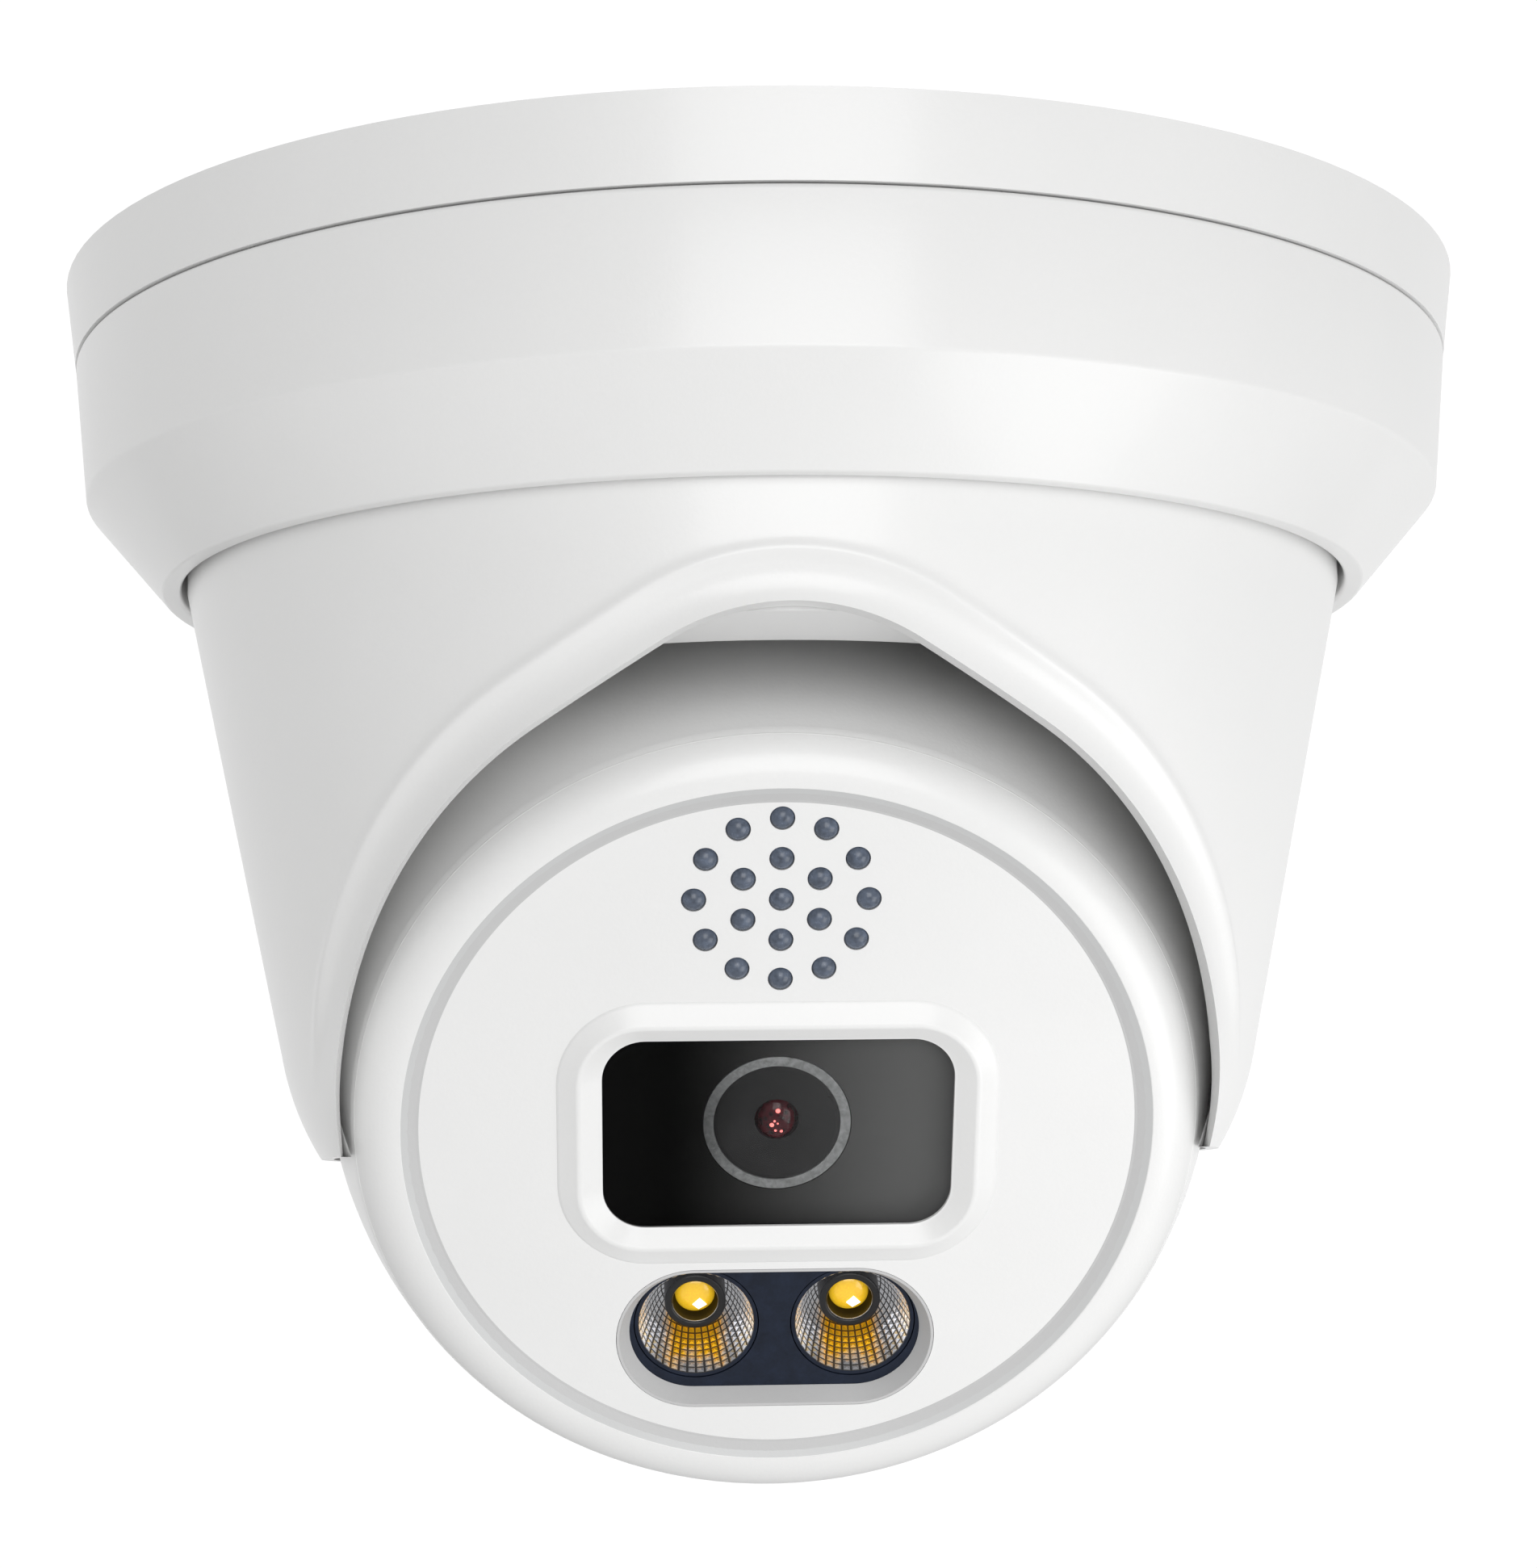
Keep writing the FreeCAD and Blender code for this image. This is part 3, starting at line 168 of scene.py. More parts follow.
class Nodes:
    """Node tree that values are made in."""

    def __init__(self, tree: bpy.types.NodeTree) -> None:
        """Keep the tree."""
        self.tree = tree

    def make(self, kind: str, settings: dict[str, Any], inputs: dict[Any, Any], out: Any) -> Value:
        """Add any node.

        Args:
            kind: The node's type.
            settings: Properties set first; "stops" holds a ramp's (position, colour) pairs.
            inputs: Values or links of its sockets, by name or number.
            out: Name or number of the output that is wanted.

        Returns:
            That output.
        """
        node = self.tree.nodes.new(kind)
        for key, value in settings.items():
            if key == "stops":
                self._set_stops(node, value)
            else:
                setattr(node, key, value)
        for key, value in inputs.items():
            if isinstance(value, Value):
                self.tree.links.new(value.socket, node.inputs[key])
            else:
                node.inputs[key].default_value = value
        return Value(self, node.outputs[out])

    @staticmethod
    def _set_stops(node: bpy.types.Node, stops: Sequence[tuple[float, Colour]]) -> None:
        """Give a colour ramp its stops.

        Args:
            node: The ramp.
            stops: Position and colour of each stop, lowest first.
        """
        ramp = node.color_ramp
        while len(ramp.elements) < len(stops):
            ramp.elements.new(1.0)
        for element, (position, colour) in zip(ramp.elements, stops):
            element.position = position
            element.color = (*colour, 1.0)

    def span(self, value: Value, low: float, high: float, start: float, end: float) -> Value:
        """Value mapped smoothly from low..high to start..end."""
        return self.make("ShaderNodeMapRange", {"interpolation_type": "SMOOTHSTEP"},
                         {"Value": value, "From Min": low, "From Max": high,
                          "To Min": start, "To Max": end}, "Result")


class Graph(Nodes):
    """Node tree of one material, with its principled shader at the end."""

    def __init__(self, name: str, constants: dict[str, Any]) -> None:
        """Start a material.

        Args:
            name: The material's name.
            constants: Socket values of the principled shader that hold all over.
        """
        self.material = bpy.data.materials.new(name)
        self.material.use_nodes = True
        super().__init__(self.material.node_tree)
        self.shader = self.tree.nodes["Principled BSDF"]
        for socket, value in constants.items():
            self.shader.inputs[socket].default_value = value

    def place(self) -> Value:
        """Position in the object, in metres."""
        return self.make("ShaderNodeTexCoord", {}, {}, "Object")

    def along(self, direction: Sequence[float], origin: Sequence[float]) -> Value:
        """Distance along a direction.

        Args:
            direction: The unit direction.
            origin: The point at distance zero.

        Returns:
            The distance in metres.
        """
        offset = self.make("ShaderNodeVectorMath", {"operation": "SUBTRACT"},
                           {0: self.place(), 1: tuple(origin)}, 0)
        return self.make("ShaderNodeVectorMath", {"operation": "DOT_PRODUCT"},
                         {0: offset, 1: tuple(direction)}, "Value")

    def noise(self, scale: float, detail: float = 3.0, stretch: Colour = (1.0, 1.0, 1.0)) -> Value:
        """Noise from 0 to 1.

        Args:
            scale: Cells a metre.
            detail: Octaves.
            stretch: Factors on the three axes.

        Returns:
            The noise.
        """
        spot = self.make("ShaderNodeVectorMath", {"operation": "MULTIPLY"},
                         {0: self.place(), 1: stretch}, 0)
        return self.make("ShaderNodeTexNoise", {"noise_dimensions": "3D"},
                         {"Vector": spot, "Scale": scale, "Detail": detail}, "Fac")

    def cells(self, scale: float, feature: Cells = Cells.CENTRE) -> Value:
        """Voronoi distance.

        Args:
            scale: Cells a metre.
            feature: Which distance.

        Returns:
            The distance.
        """
        return self.make("ShaderNodeTexVoronoi", {"feature": feature.value},
                         {"Vector": self.place(), "Scale": scale}, "Distance")

    def ramp(self, value: Value, stops: Sequence[tuple[float, Colour]]) -> Value:
        """Colour ramp over a value."""
        return self.make("ShaderNodeValToRGB", {"stops": stops}, {"Fac": value}, "Color")

    def mix(self, share: Any, first: Any, second: Any) -> Value:
        """Mix of two colours.

        Args:
            share: The second colour's share.
            first: A colour or a link.
            second: A colour or a link.

        Returns:
            The mixed colour.
        """
        def full(colour: Any) -> Any:
            """Colour with its alpha, or the link as it is."""
            return colour if isinstance(colour, Value) else (*colour, 1.0)
        return self.make("ShaderNodeMix", {"data_type": "RGBA"},
                         {0: share, 6: full(first), 7: full(second)}, 2)

    def feed(self, **values: Value) -> None:
        """Link values to the principled shader, by socket name with _ for a space."""
        for name, value in values.items():
            self.tree.links.new(value.socket, self.shader.inputs[name.replace("_", " ")])

    def bump(self, height: Value, depth: float) -> None:
        """Bump the surface.

        Args:
            height: Height from 0 to 1.
            depth: Metres that one unit of height stands for.
        """
        self.feed(Normal=self.make("ShaderNodeBump", {}, {"Height": height, "Strength": 1.0,
                                                          "Distance": depth}, "Normal"))


# ---------------------------------------------------------------- finishes

@dataclass(frozen=True)
class Moulded:
    """Moulded or painted surface: a soft change of tone, a fine grain and its sheen."""

    name: str
    colour: Colour
    roughness: float
    tone: float = 0.03
    patch: float = 60.0
    grain: float = FINE_GRAIN
    depth: float = GRAIN_DEPTH
    coat: float = 0.0
    specular: float = 0.5
    patch_share: float = 0.7
    patch_roughness: float = 0.08

    def material(self) -> bpy.types.Material:
        """Build the finish."""
        graph = Graph(self.name, {"Coat Weight": self.coat, "Coat Roughness": COAT_ROUGHNESS,
                                  "Specular IOR Level": self.specular})
        patches, grain = graph.noise(self.patch), graph.noise(self.grain, 2.0)
        dark = tuple(c * (1 - self.tone) for c in self.colour)
        light = tuple(min(1.0, c * (1 + self.tone)) for c in self.colour)
        tone = patches * self.patch_share + grain * (1 - self.patch_share)
        graph.feed(Base_Color=graph.ramp(tone, [(0.3, dark), (0.7, light)]),
                   Roughness=self.roughness + (patches - 0.5) * self.patch_roughness
                   + (grain - 0.5) * GRAIN_ROUGHNESS)
        graph.bump(grain, self.depth)
        return graph.material


@dataclass(frozen=True)
class RimPaint:
    """White shell with painted shade: its sunk groove round the face is painted grey."""

    name: str
    axes: "BallAxes"
    groove_outer: float = 35.15 * MM
    ragged: float = 0.03 * MM
    white: Colour = WHITE
    grey: Colour = (0.56, 0.565, 0.565)

    def material(self) -> bpy.types.Material:
        """Build the finish."""
        graph = Graph(self.name, {"Coat Weight": 0.25, "Coat Roughness": COAT_ROUGHNESS})
        x = graph.along(self.axes.across, self.axes.origin)
        y = graph.along(self.axes.up, self.axes.origin)
        radius = (x * x + y * y) ** 0.5
        grain = graph.noise(FINE_GRAIN, 2.0)
        # Painted shade: grey inside the groove round the face.
        inside = 1 - (radius + (grain - 0.5) * self.ragged).above(self.groove_outer)
        graph.feed(Base_Color=graph.mix(inside, self.white, self.grey),
                   Roughness=0.36 + inside * 0.1 + (grain - 0.5) * GRAIN_ROUGHNESS)
        graph.bump(grain, GRAIN_DEPTH)
        return graph.material


@dataclass(frozen=True)
class Machined:
    """Bare metal with fine turning lines and a faint tarnish."""

    name: str
    colour: Colour
    roughness: float
    lines: float = 9000.0
    stretch: Colour = (1.0, 1.0, 0.06)
    stain: float = 110.0
    stain_shade: float = 0.8
    depth: float = 0.000006

    def material(self) -> bpy.types.Material:
        """Build the finish."""
        graph = Graph(self.name, {"Metallic": 1.0})
        lines, stain = graph.noise(self.lines, 2.0, self.stretch), graph.noise(self.stain)
        tarnish_and_painted_shade = tuple(c * self.stain_shade for c in self.colour)
        graph.feed(Base_Color=graph.mix(graph.span(stain, 0.35, 0.7, 0.0, 1.0), self.colour, tarnish_and_painted_shade),
                   Roughness=self.roughness + (lines - 0.5) * 0.16 + (stain - 0.5) * 0.1)
        graph.bump(lines, self.depth)
        return graph.material


@dataclass(frozen=True)
class SmokedPane:
    """Dark polished pane with a painted reflection: black at one side, grey and clearer toward the other.
    """

    name: str = "smoked_pane_painted_reflection"
    clear_share: float = 0.86
    painted_reflection_grey: float = 0.15

    def material(self) -> bpy.types.Material:
        """Build the finish."""
        graph = Graph(self.name, {"Roughness": 0.05, "Specular IOR Level": 0.08})
        across = graph.along((1, 0, 0), (0, 0, 0)) / PANE_HALF_WIDTH
        painted_reflection_wobble = graph.noise(90.0) * 0.12
        # Painted reflection: black toward -x, grey and more see-through toward +x.
        painted_reflection = graph.span(across + painted_reflection_wobble, -0.55, 1.0, 0.0, 1.0)
        graph.feed(Base_Color=graph.mix(painted_reflection, (0.001, 0.001, 0.001), (self.painted_reflection_grey,) * 3),
                   Alpha=graph.span(across, -1.0, -0.1, 0.85, 1 - self.clear_share))
        return graph.material


@dataclass(frozen=True)
class FadedMask:
    """Smooth mask behind the pane, black at one side and grey at the other; the grey side is a painted
    reflection.
    """

    name: str = "mask_painted_reflection"
    black: Colour = (0.002, 0.002, 0.002)
    grey: Colour = (0.115, 0.116, 0.115)

    def material(self) -> bpy.types.Material:
        """Build the finish."""
        graph = Graph(self.name, {"Specular IOR Level": 0.1})
        across = graph.along((1, 0, 0), (0, 0, 0)) / PANE_HALF_WIDTH + graph.noise(90.0) * 0.1
        # Painted reflection: the mask turns from black to grey across its width.
        painted_reflection = graph.span(across, -0.55, 1.0, 0.0, 1.0)
        graph.feed(Base_Color=graph.mix(painted_reflection, self.black, self.grey),
                   Roughness=0.62 + graph.noise(1800.0) * 0.06)
        return graph.material


@dataclass(frozen=True)
class CoatedLens:
    """Deep glass with a dark red anti-reflection coating."""

    name: str
    deep: Colour = (0.004, 0.0005, 0.001)
    edge: Colour = (0.075, 0.003, 0.009)

    def material(self) -> bpy.types.Material:
        """Build the finish."""
        graph = Graph(self.name, {"Roughness": 0.08, "Coat Weight": 0.2, "Coat Roughness": 0.05,
                                  "Specular IOR Level": 0.3})
        flakes = graph.cells(1500.0)
        tone = graph.span(flakes + graph.noise(700.0) * 0.4, 0.2, 0.9, 0.0, 1.0)
        graph.feed(Base_Color=graph.mix(tone, self.deep, self.edge))
        return graph.material


@dataclass(frozen=True)
class CupGrid:
    """Where the reflector cups stand on the face and how they divide, in millimetres."""

    across: float = 7.55
    height: float = -21.4
    floor: float = 10.0
    mouth: float = 17.9
    facets: int = 40
    rows: int = 11


CUPS = CupGrid()


@dataclass(frozen=True)
class Mirror:
    """Metallised reflector: bright silver, with a painted reflection of the yellow chips, painted shade
    low down and a painted glow.

    The pairs are distances in metres between which a patch fades: the painted reflection's
    foot, head and sides, and the painted shade.
    """

    name: str
    axes: "BallAxes"
    # Strength of the painted glow.
    lift: float = 0.32
    turn_gap: float = 0.13
    row_gap: float = 0.12
    painted_patch_wobble: float = 0.0012
    foot: Point2 = (-0.0054, -0.0046)
    head: Point2 = (-0.0026, -0.0012)
    sides: Point2 = (0.0020, 0.0034)
    tarnish_and_painted_shade: Point2 = (-0.0048, -0.0008)
    silver: Colour = (0.92, 0.93, 0.97)
    shade: Colour = (0.13, 0.125, 0.125)
    dark: Colour = (0.03, 0.028, 0.026)
    painted_chip_reflection: Colour = (1.0, 0.52, 0.02)

    def material(self) -> bpy.types.Material:
        """Build the finish."""
        # Painted glow: the mirror gives off light in its own colour.
        graph = Graph(self.name, {"Metallic": 1.0, "Emission Strength": self.lift})
        x = graph.along(self.axes.across, self.axes.origin).size() - CUPS.across * MM
        y = graph.along(self.axes.up, self.axes.origin) - CUPS.height * MM
        depth = graph.along(self.axes.out, self.axes.origin) - CUPS.floor * MM
        row = (CUPS.mouth - CUPS.floor) / CUPS.rows * MM
        gaps = (y.turn_from(x) * (CUPS.facets / FULL_TURN)).near_whole(self.turn_gap)
        gaps = gaps + (depth / row).near_whole(self.row_gap) * (1 - gaps)
        spots = (graph.noise(900.0) - 0.5) * self.painted_patch_wobble
        # Painted reflection of the yellow chips below the collars, and painted shade over the lower rows.
        painted_chip_reflection = graph.span(y + spots, *self.foot, 0.0, 1.0) * graph.span(y, *self.head, 1.0, 0.0)
        painted_chip_reflection = painted_chip_reflection * graph.span(x.size() + spots, *self.sides, 1.0, 0.0)
        tarnish_and_painted_shade = graph.span(y + spots, *self.tarnish_and_painted_shade, 1.0, 0.0) * (1 - painted_chip_reflection)
        colour = graph.mix(tarnish_and_painted_shade * 0.8, self.silver, self.shade)
        colour = graph.mix(painted_chip_reflection, colour, self.painted_chip_reflection)
        colour = graph.mix(gaps * 0.88, colour, self.dark)
        graph.feed(Base_Color=colour, Emission_Color=colour,
                   Roughness=0.16 + graph.noise(2400.0) * 0.14)
        return graph.material


@dataclass(frozen=True)
class PhosphorAndPaintedGlint:
    """Glowing pad with a fine powdery grain: the yellow phosphor, and the painted glints on the lens and
    chips.
    """

    name: str = "phosphor"
    colour: Colour = (1.0, 0.60, 0.02)
    glow: float = 0.28

    def material(self) -> bpy.types.Material:
        """Build the finish."""
        graph = Graph(self.name, {"Roughness": 0.3, "Coat Weight": 0.8,
                                  "Emission Strength": self.glow})
        powder = graph.noise(5200.0)
        shaded = tuple(c * 0.85 for c in self.colour)
        colour = graph.ramp(powder, [(0.3, shaded), (0.7, self.colour)])
        graph.feed(Base_Color=colour, Emission_Color=colour)
        return graph.material


@dataclass(frozen=True)
class Laminate:
    """Circuit board: solder mask over a net of tracks, with bare pads."""

    name: str
    mask: Colour = (0.01, 0.12, 0.045)

    def material(self) -> bpy.types.Material:
        """Build the finish."""
        graph = Graph(self.name, {"Coat Weight": 0.5, "Coat Roughness": 0.2})
        tracks = 1 - graph.cells(420.0, Cells.EDGE).above(0.07)
        pads = 1 - graph.cells(520.0).above(0.16)
        copper = tuple(c * 1.9 for c in self.mask)
        mask = graph.mix(tracks, self.mask, copper)
        graph.feed(Base_Color=graph.mix(pads, mask, (0.8, 0.72, 0.5)), Metallic=pads,
                   Roughness=0.42 - pads * 0.16)
        graph.bump(tracks, 0.00003)
        return graph.material


@dataclass(frozen=True)
class WovenWire:
    """Fine dark gauze."""

    name: str = "wire_gauze"
    pitch: float = 0.0005

    def material(self) -> bpy.types.Material:
        """Build the finish."""
        graph = Graph(self.name, {"Metallic": 0.4, "Roughness": 0.5})
        turn = FULL_TURN / self.pitch
        over = (graph.along((1, 0, 0), (0, 0, 0)) * turn).wave()
        under = (graph.along((0, -0.49, 0.87), (0, 0, 0)) * turn).wave()
        weave = (over * under) * 0.5 + 0.5
        graph.feed(Base_Color=graph.mix(weave, (0.008, 0.01, 0.014), (0.07, 0.08, 0.1)))
        graph.bump(weave, 0.0001)
        return graph.material


NODE_FINISHES = {
    "white_shell": ("mounting_base", "trim_ring", "turret_shroud", "ball_rear_shell", "face_plate",
                    "window_bezel"),
    "white_plastic": ("ball_seat_ring", "turret_carrier", "rear_cover"),
    "rubber": ("base_gasket", "base_seal_ring", "inlet_grommet", "roll_seal_ring", "rear_seal",
               "reset_button", "face_seal", "speaker_gasket"),
    "nylon": ("harness_socket", "pan_friction_washer", "pan_slip_ring", "tilt_friction_washers",
              "tilt_bushes", "rear_gland", "main_board_posts", "sensor_board_posts"),
    "steel": ("trim_lock_screw", "retainer_screws", "carrier_screws", "tilt_pivot_screws",
              "rear_cover_screws", "main_board_screws", "sensor_board_screws", "roll_circlip"),
    "chip_black": ("main_board_chips", "lens_barrel", "lens_holder", "image_sensor", "speaker"),
    "board_green": ("main_board", "sensor_board", "light_board"),
    "lens_glass": ("front_lens", "lens_elements", "ir_cut_filter"),
    "bare_aluminium": ("pan_retainer", "light_heat_sink"),
    "cable_black": ("harness_lead", "roll_lead"),
    # light_bezel gets painted shade: grey for its recess.
    "rim_white": ("front_housing",), "groove_painted_shade": ("light_bezel",),
    "dark_plastic": ("light_housing",), "black_gloss": ("lens_hood",),
    "mask_painted_reflection": ("window_mask",), "smoked_pane_painted_reflection": ("window_glass",),
    "ring_grey": ("lens_front_ring",), "reflector": ("light_cups",),
    "phosphor": ("light_chips",), "wire_gauze": ("speaker_mesh",),
}


class Palette:
    """Every finish of the camera, by its name."""

    def __init__(self, axes: "BallAxes") -> None:
        """Build the finishes.

        Args:
            axes: The ball's own directions, for finishes that follow them.
        """
        made = (
            Moulded("white_shell", WHITE, 0.36, coat=0.25, tone=0.012),
            Moulded("white_plastic", (0.83, 0.83, 0.825), 0.42, tone=0.012),
            RimPaint("rim_white", axes),
            # Painted shade: grey for the groove round the face and the recess of the light bezel.
            Moulded("groove_painted_shade", (0.53, 0.53, 0.53), 0.5, tone=0.02),
            Moulded("dark_plastic", (0.008, 0.013, 0.027), 0.45, tone=0.35, patch=500.0, specular=0.25),
            Moulded("dome_blue", (0.085, 0.105, 0.145), 0.26, tone=0.4, patch=1400.0),
            Moulded("black_gloss", (0.006, 0.006, 0.007), 0.3, tone=0.3, patch=400.0),
            FadedMask(),
            Moulded("ring_grey", (0.30, 0.31, 0.31), 0.6, tone=0.35, grain=3800.0, depth=0.00006,
                    patch=1800.0),
            Moulded("rubber", (0.025, 0.025, 0.027), 0.8, tone=0.15, depth=0.00003),
            Moulded("nylon", (0.66, 0.64, 0.58), 0.55, tone=0.05),
            Moulded("cable_black", (0.02, 0.02, 0.022), 0.5, tone=0.15),
            Moulded("chip_black", (0.03, 0.03, 0.033), 0.55, tone=0.2),
            Machined("steel", (0.60, 0.60, 0.61), 0.3),
            Machined("bare_aluminium", (0.80, 0.81, 0.82), 0.36),
            SmokedPane(),
            CoatedLens("lens_glass"),
            Mirror("reflector", axes),
            PhosphorAndPaintedGlint(),
            # Painted glints that glow: red specks on the front lens, white squares on the chips.
            PhosphorAndPaintedGlint("painted_glint_red", (1.0, 0.22, 0.20), 1.8),
            PhosphorAndPaintedGlint("painted_glint_white", (1.0, 0.97, 0.88), 1.0),
            Laminate("board_green"),
            WovenWire(),
        )
        self.finishes = {finish.name: finish.material() for finish in made}

    def coat(self, piece: bpy.types.Object, finish: str) -> None:
        """Give a piece one finish on all its faces."""
        piece.data.materials.clear()
        piece.data.materials.append(self.finishes[finish])

    def dress_nodes(self) -> None:
        """Give every CAD node's own slots their finish."""
        for finish, nodes in NODE_FINISHES.items():
            for item in (frame["nodes"][node] for node in nodes):
                if not item.material_slots:
                    item.data.materials.append(self.finishes[finish])
                for slot in item.material_slots:
                    slot.material = self.finishes[finish]

    def settle(self, piece: bpy.types.Object, finish: str, body: str, slot: str,
               *replaces: str) -> None:
        """Coat a new piece, tell the frame where it belongs and report it.

        Args:
            piece: The new piece.
            finish: Its finish.
            body: The body it rides.
            slot: The record's material slot; not used.
            replaces: CAD nodes it stands for.
        """
        self.coat(piece, finish)
        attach(piece, body)
        if replaces:
            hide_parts(*replaces)
        log.info("%s rides %s (%d faces)", piece.name, body, len(piece.data.polygons))


# ---------------------------------------------------------------- mesh tools

def build(name: str, points: np.ndarray, faces: Iterable[Sequence[int]], sharp: float = SHARP_EDGE,
          place: Matrix | None = None) -> bpy.types.Object:
    """Make a smooth-shaded mesh object from points in millimetres.

    Args:
        name: The piece's name.
        points: Rows of x, y, z in millimetres.
        faces: Vertex numbers of each face.
        sharp: Edges that turn more than this many degrees stay sharp.
        place: Where the points' own frame sits, in metres.

    Returns:
        The object, with its place in its mesh.
    """
    mesh = bpy.data.meshes.new(name)
    mesh.from_pydata((np.asarray(points, float) * MM).tolist(), [], [list(f) for f in faces])
    if place is not None:
        mesh.transform(place)
    mesh.validate()
    mesh.update()
    mesh.shade_smooth()
    mesh.set_sharp_from_angle(angle=math.radians(sharp))
    item = bpy.data.objects.new(name, mesh)
    bpy.context.scene.collection.objects.link(item)
    return item


def rounded(corners: Sequence[tuple[float, float, float]], steps: int = 6,
            closed: bool = False) -> list[Point2]:
    """Round the corners of an outline.

    Args:
        corners: Each corner's two coordinates and its radius.
        steps: Pieces in each arc.
        closed: True if the last corner joins the first.

    Returns:
        The outline's points.
    """
    count, path = len(corners), []
    for i, (x, y, radius) in enumerate(corners):
        here = Vector((x, y))
        if radius <= 0 or (not closed and i in (0, count - 1)):
            path.append((x, y))
            continue
        back = Vector(corners[i - 1][:2]) - here
        on = Vector(corners[(i + 1) % count][:2]) - here
        half = back.angle(on) / 2
        reach = min(radius / math.tan(half), 0.49 * back.length, 0.49 * on.length)
        start, end = here + back.normalized() * reach, here + on.normalized() * reach
        centre = here + (back.normalized() + on.normalized()).normalized() * (
            reach / math.cos(half))
        arc = start - centre
        turn = arc.angle_signed(end - centre) * -1
        for k in range(steps + 1):
            spun = Matrix.Rotation(turn * k / steps, 2) @ arc
            path.append(tuple(centre + spun))
    return path


def ellipse(half_x: float, half_y: float, level: float, centre: Point2 = (0.0, 0.0),
            sides: int = 64) -> np.ndarray:
    """Level ring of points.

    Args:
        half_x: Half its width.
        half_y: Half its depth.
        level: Its height.
        centre: Its middle.
        sides: How many points it has.

    Returns:
        Rows of x, y, z, anticlockwise.
    """
    turn = np.linspace(0, FULL_TURN, sides, endpoint=False)
    return np.column_stack([centre[0] + half_x * np.cos(turn), centre[1] + half_y * np.sin(turn),
                            np.full(sides, level)])


def around(radius: Any, turn: Any, level: Any) -> np.ndarray:
    """Points by their radius, their turn from the front and their height."""
    radius, turn, level = np.broadcast_arrays(radius, turn, level)
    return np.stack([radius * np.sin(turn), -radius * np.cos(turn), level], axis=-1)


def joined(parts: Iterable[Skin]) -> Skin:
    """Put several meshes into one.

    Args:
        parts: Points and faces of each.

    Returns:
        All the points, and all the faces numbered on.
    """
    points, faces, count = [], [], 0
    for spots, sides in parts:
        points.append(spots)
        faces += [[i + count for i in side] for side in sides]
        count += len(spots)
    return np.vstack(points), faces


def sweep_rings(rings: Sequence[np.ndarray], closed: bool = False,
                caps: tuple[bool, bool] = (False, False)) -> Skin:
    """Skin a row of equal rings.

    Args:
        rings: Each ring's points, all with the same count.
        closed: True if the last ring joins the first.
        caps: Whether the first and the last ring are filled with a fan.

    Returns:
        The points and the faces.
    """
    count = len(rings[0])
    points = np.vstack(rings)
    faces = []
    pairs = len(rings) if closed else len(rings) - 1
    for i in range(pairs):
        low, high = i * count, ((i + 1) % len(rings)) * count
        for k in range(count):
            n = (k + 1) % count
            faces.append([low + k, low + n, high + n, high + k])
    for wanted, ring, flip in ((caps[0], 0, True), (caps[1], len(rings) - 1, False)):
        if not wanted:
            continue
        hub = len(points)
        points = np.vstack([points, rings[ring].mean(axis=0)])
        base = ring * count
        for k in range(count):
            n = (k + 1) % count
            faces.append([base + n, base + k, hub] if flip else [base + k, base + n, hub])
    return points, faces


def lathe(name: str, profile: Sequence[Point2], place: Matrix | None = None, sides: int = 360,
          closed: bool = True) -> bpy.types.Object:
    """Turn a profile about its own Z axis.

    Args:
        name: The piece's name.
        profile: Radius and height of each point, in millimetres.
        place: Where the axis stands.
        sides: Steps round the axis.
        closed: True if the profile closes on itself; its ends are filled otherwise.

    Returns:
        The piece.
    """
    rings = [ellipse(radius, radius, level, sides=sides) for radius, level in profile]
    points, faces = sweep_rings(rings, closed, (not closed, not closed))
    return build(name, points, outward(points, faces), place=place)


def outward(points: np.ndarray, faces: list[list[int]]) -> list[list[int]]:
    """Turn all faces over if the closed mesh is inside out.

    Args:
        points: The mesh's points.
        faces: The mesh's faces, of three or four points.

    Returns:
        Faces that enclose a positive volume.
    """
    fours = np.array([face if len(face) == 4 else [*face, face[-1]] for face in faces])
    a, b, c, d = (points[fours[:, corner]] for corner in range(4))
    volume = (a * (np.cross(b, c) + np.cross(c, d))).sum()
    return faces if volume >= 0 else [face[::-1] for face in faces]


def round_rectangle(half_x: float, half_y: float, corner: float, steps: int = 14) -> np.ndarray:
    """Rounded rectangle with the same count of points whatever its sizes.

    Args:
        half_x: Half its width.
        half_y: Half its height.
        corner: Corner radius.
        steps: Pieces in each corner.

    Returns:
        Rows of two coordinates, anticlockwise.
    """
    corner = min(corner, half_x, half_y)
    rows = []
    for quarter, (sx, sy) in enumerate(((1, 1), (-1, 1), (-1, -1), (1, -1))):
        for k in range(steps + 1):
            angle = math.pi / 2 * (quarter + k / steps)
            rows.append((sx * (half_x - corner) + corner * math.cos(angle),
                         sy * (half_y - corner) + corner * math.sin(angle)))
    return np.array(rows)


def apply_cut(piece: bpy.types.Object, cutter: bpy.types.Object) -> None:
    """Cut one closed mesh from another and drop the cutter.

    Args:
        piece: The mesh that is cut.
        cutter: The mesh that is taken away.
    """
    step = piece.modifiers.new("cut", "BOOLEAN")
    step.object, step.operation, step.solver = cutter, "DIFFERENCE", "EXACT"
    scene_graph = bpy.context.evaluated_depsgraph_get()
    cut = bpy.data.meshes.new_from_object(piece.evaluated_get(scene_graph))
    piece.modifiers.clear()
    piece.data = cut
    cut.set_sharp_from_angle(angle=math.radians(SHARP_EDGE))
    bpy.data.objects.remove(cutter)


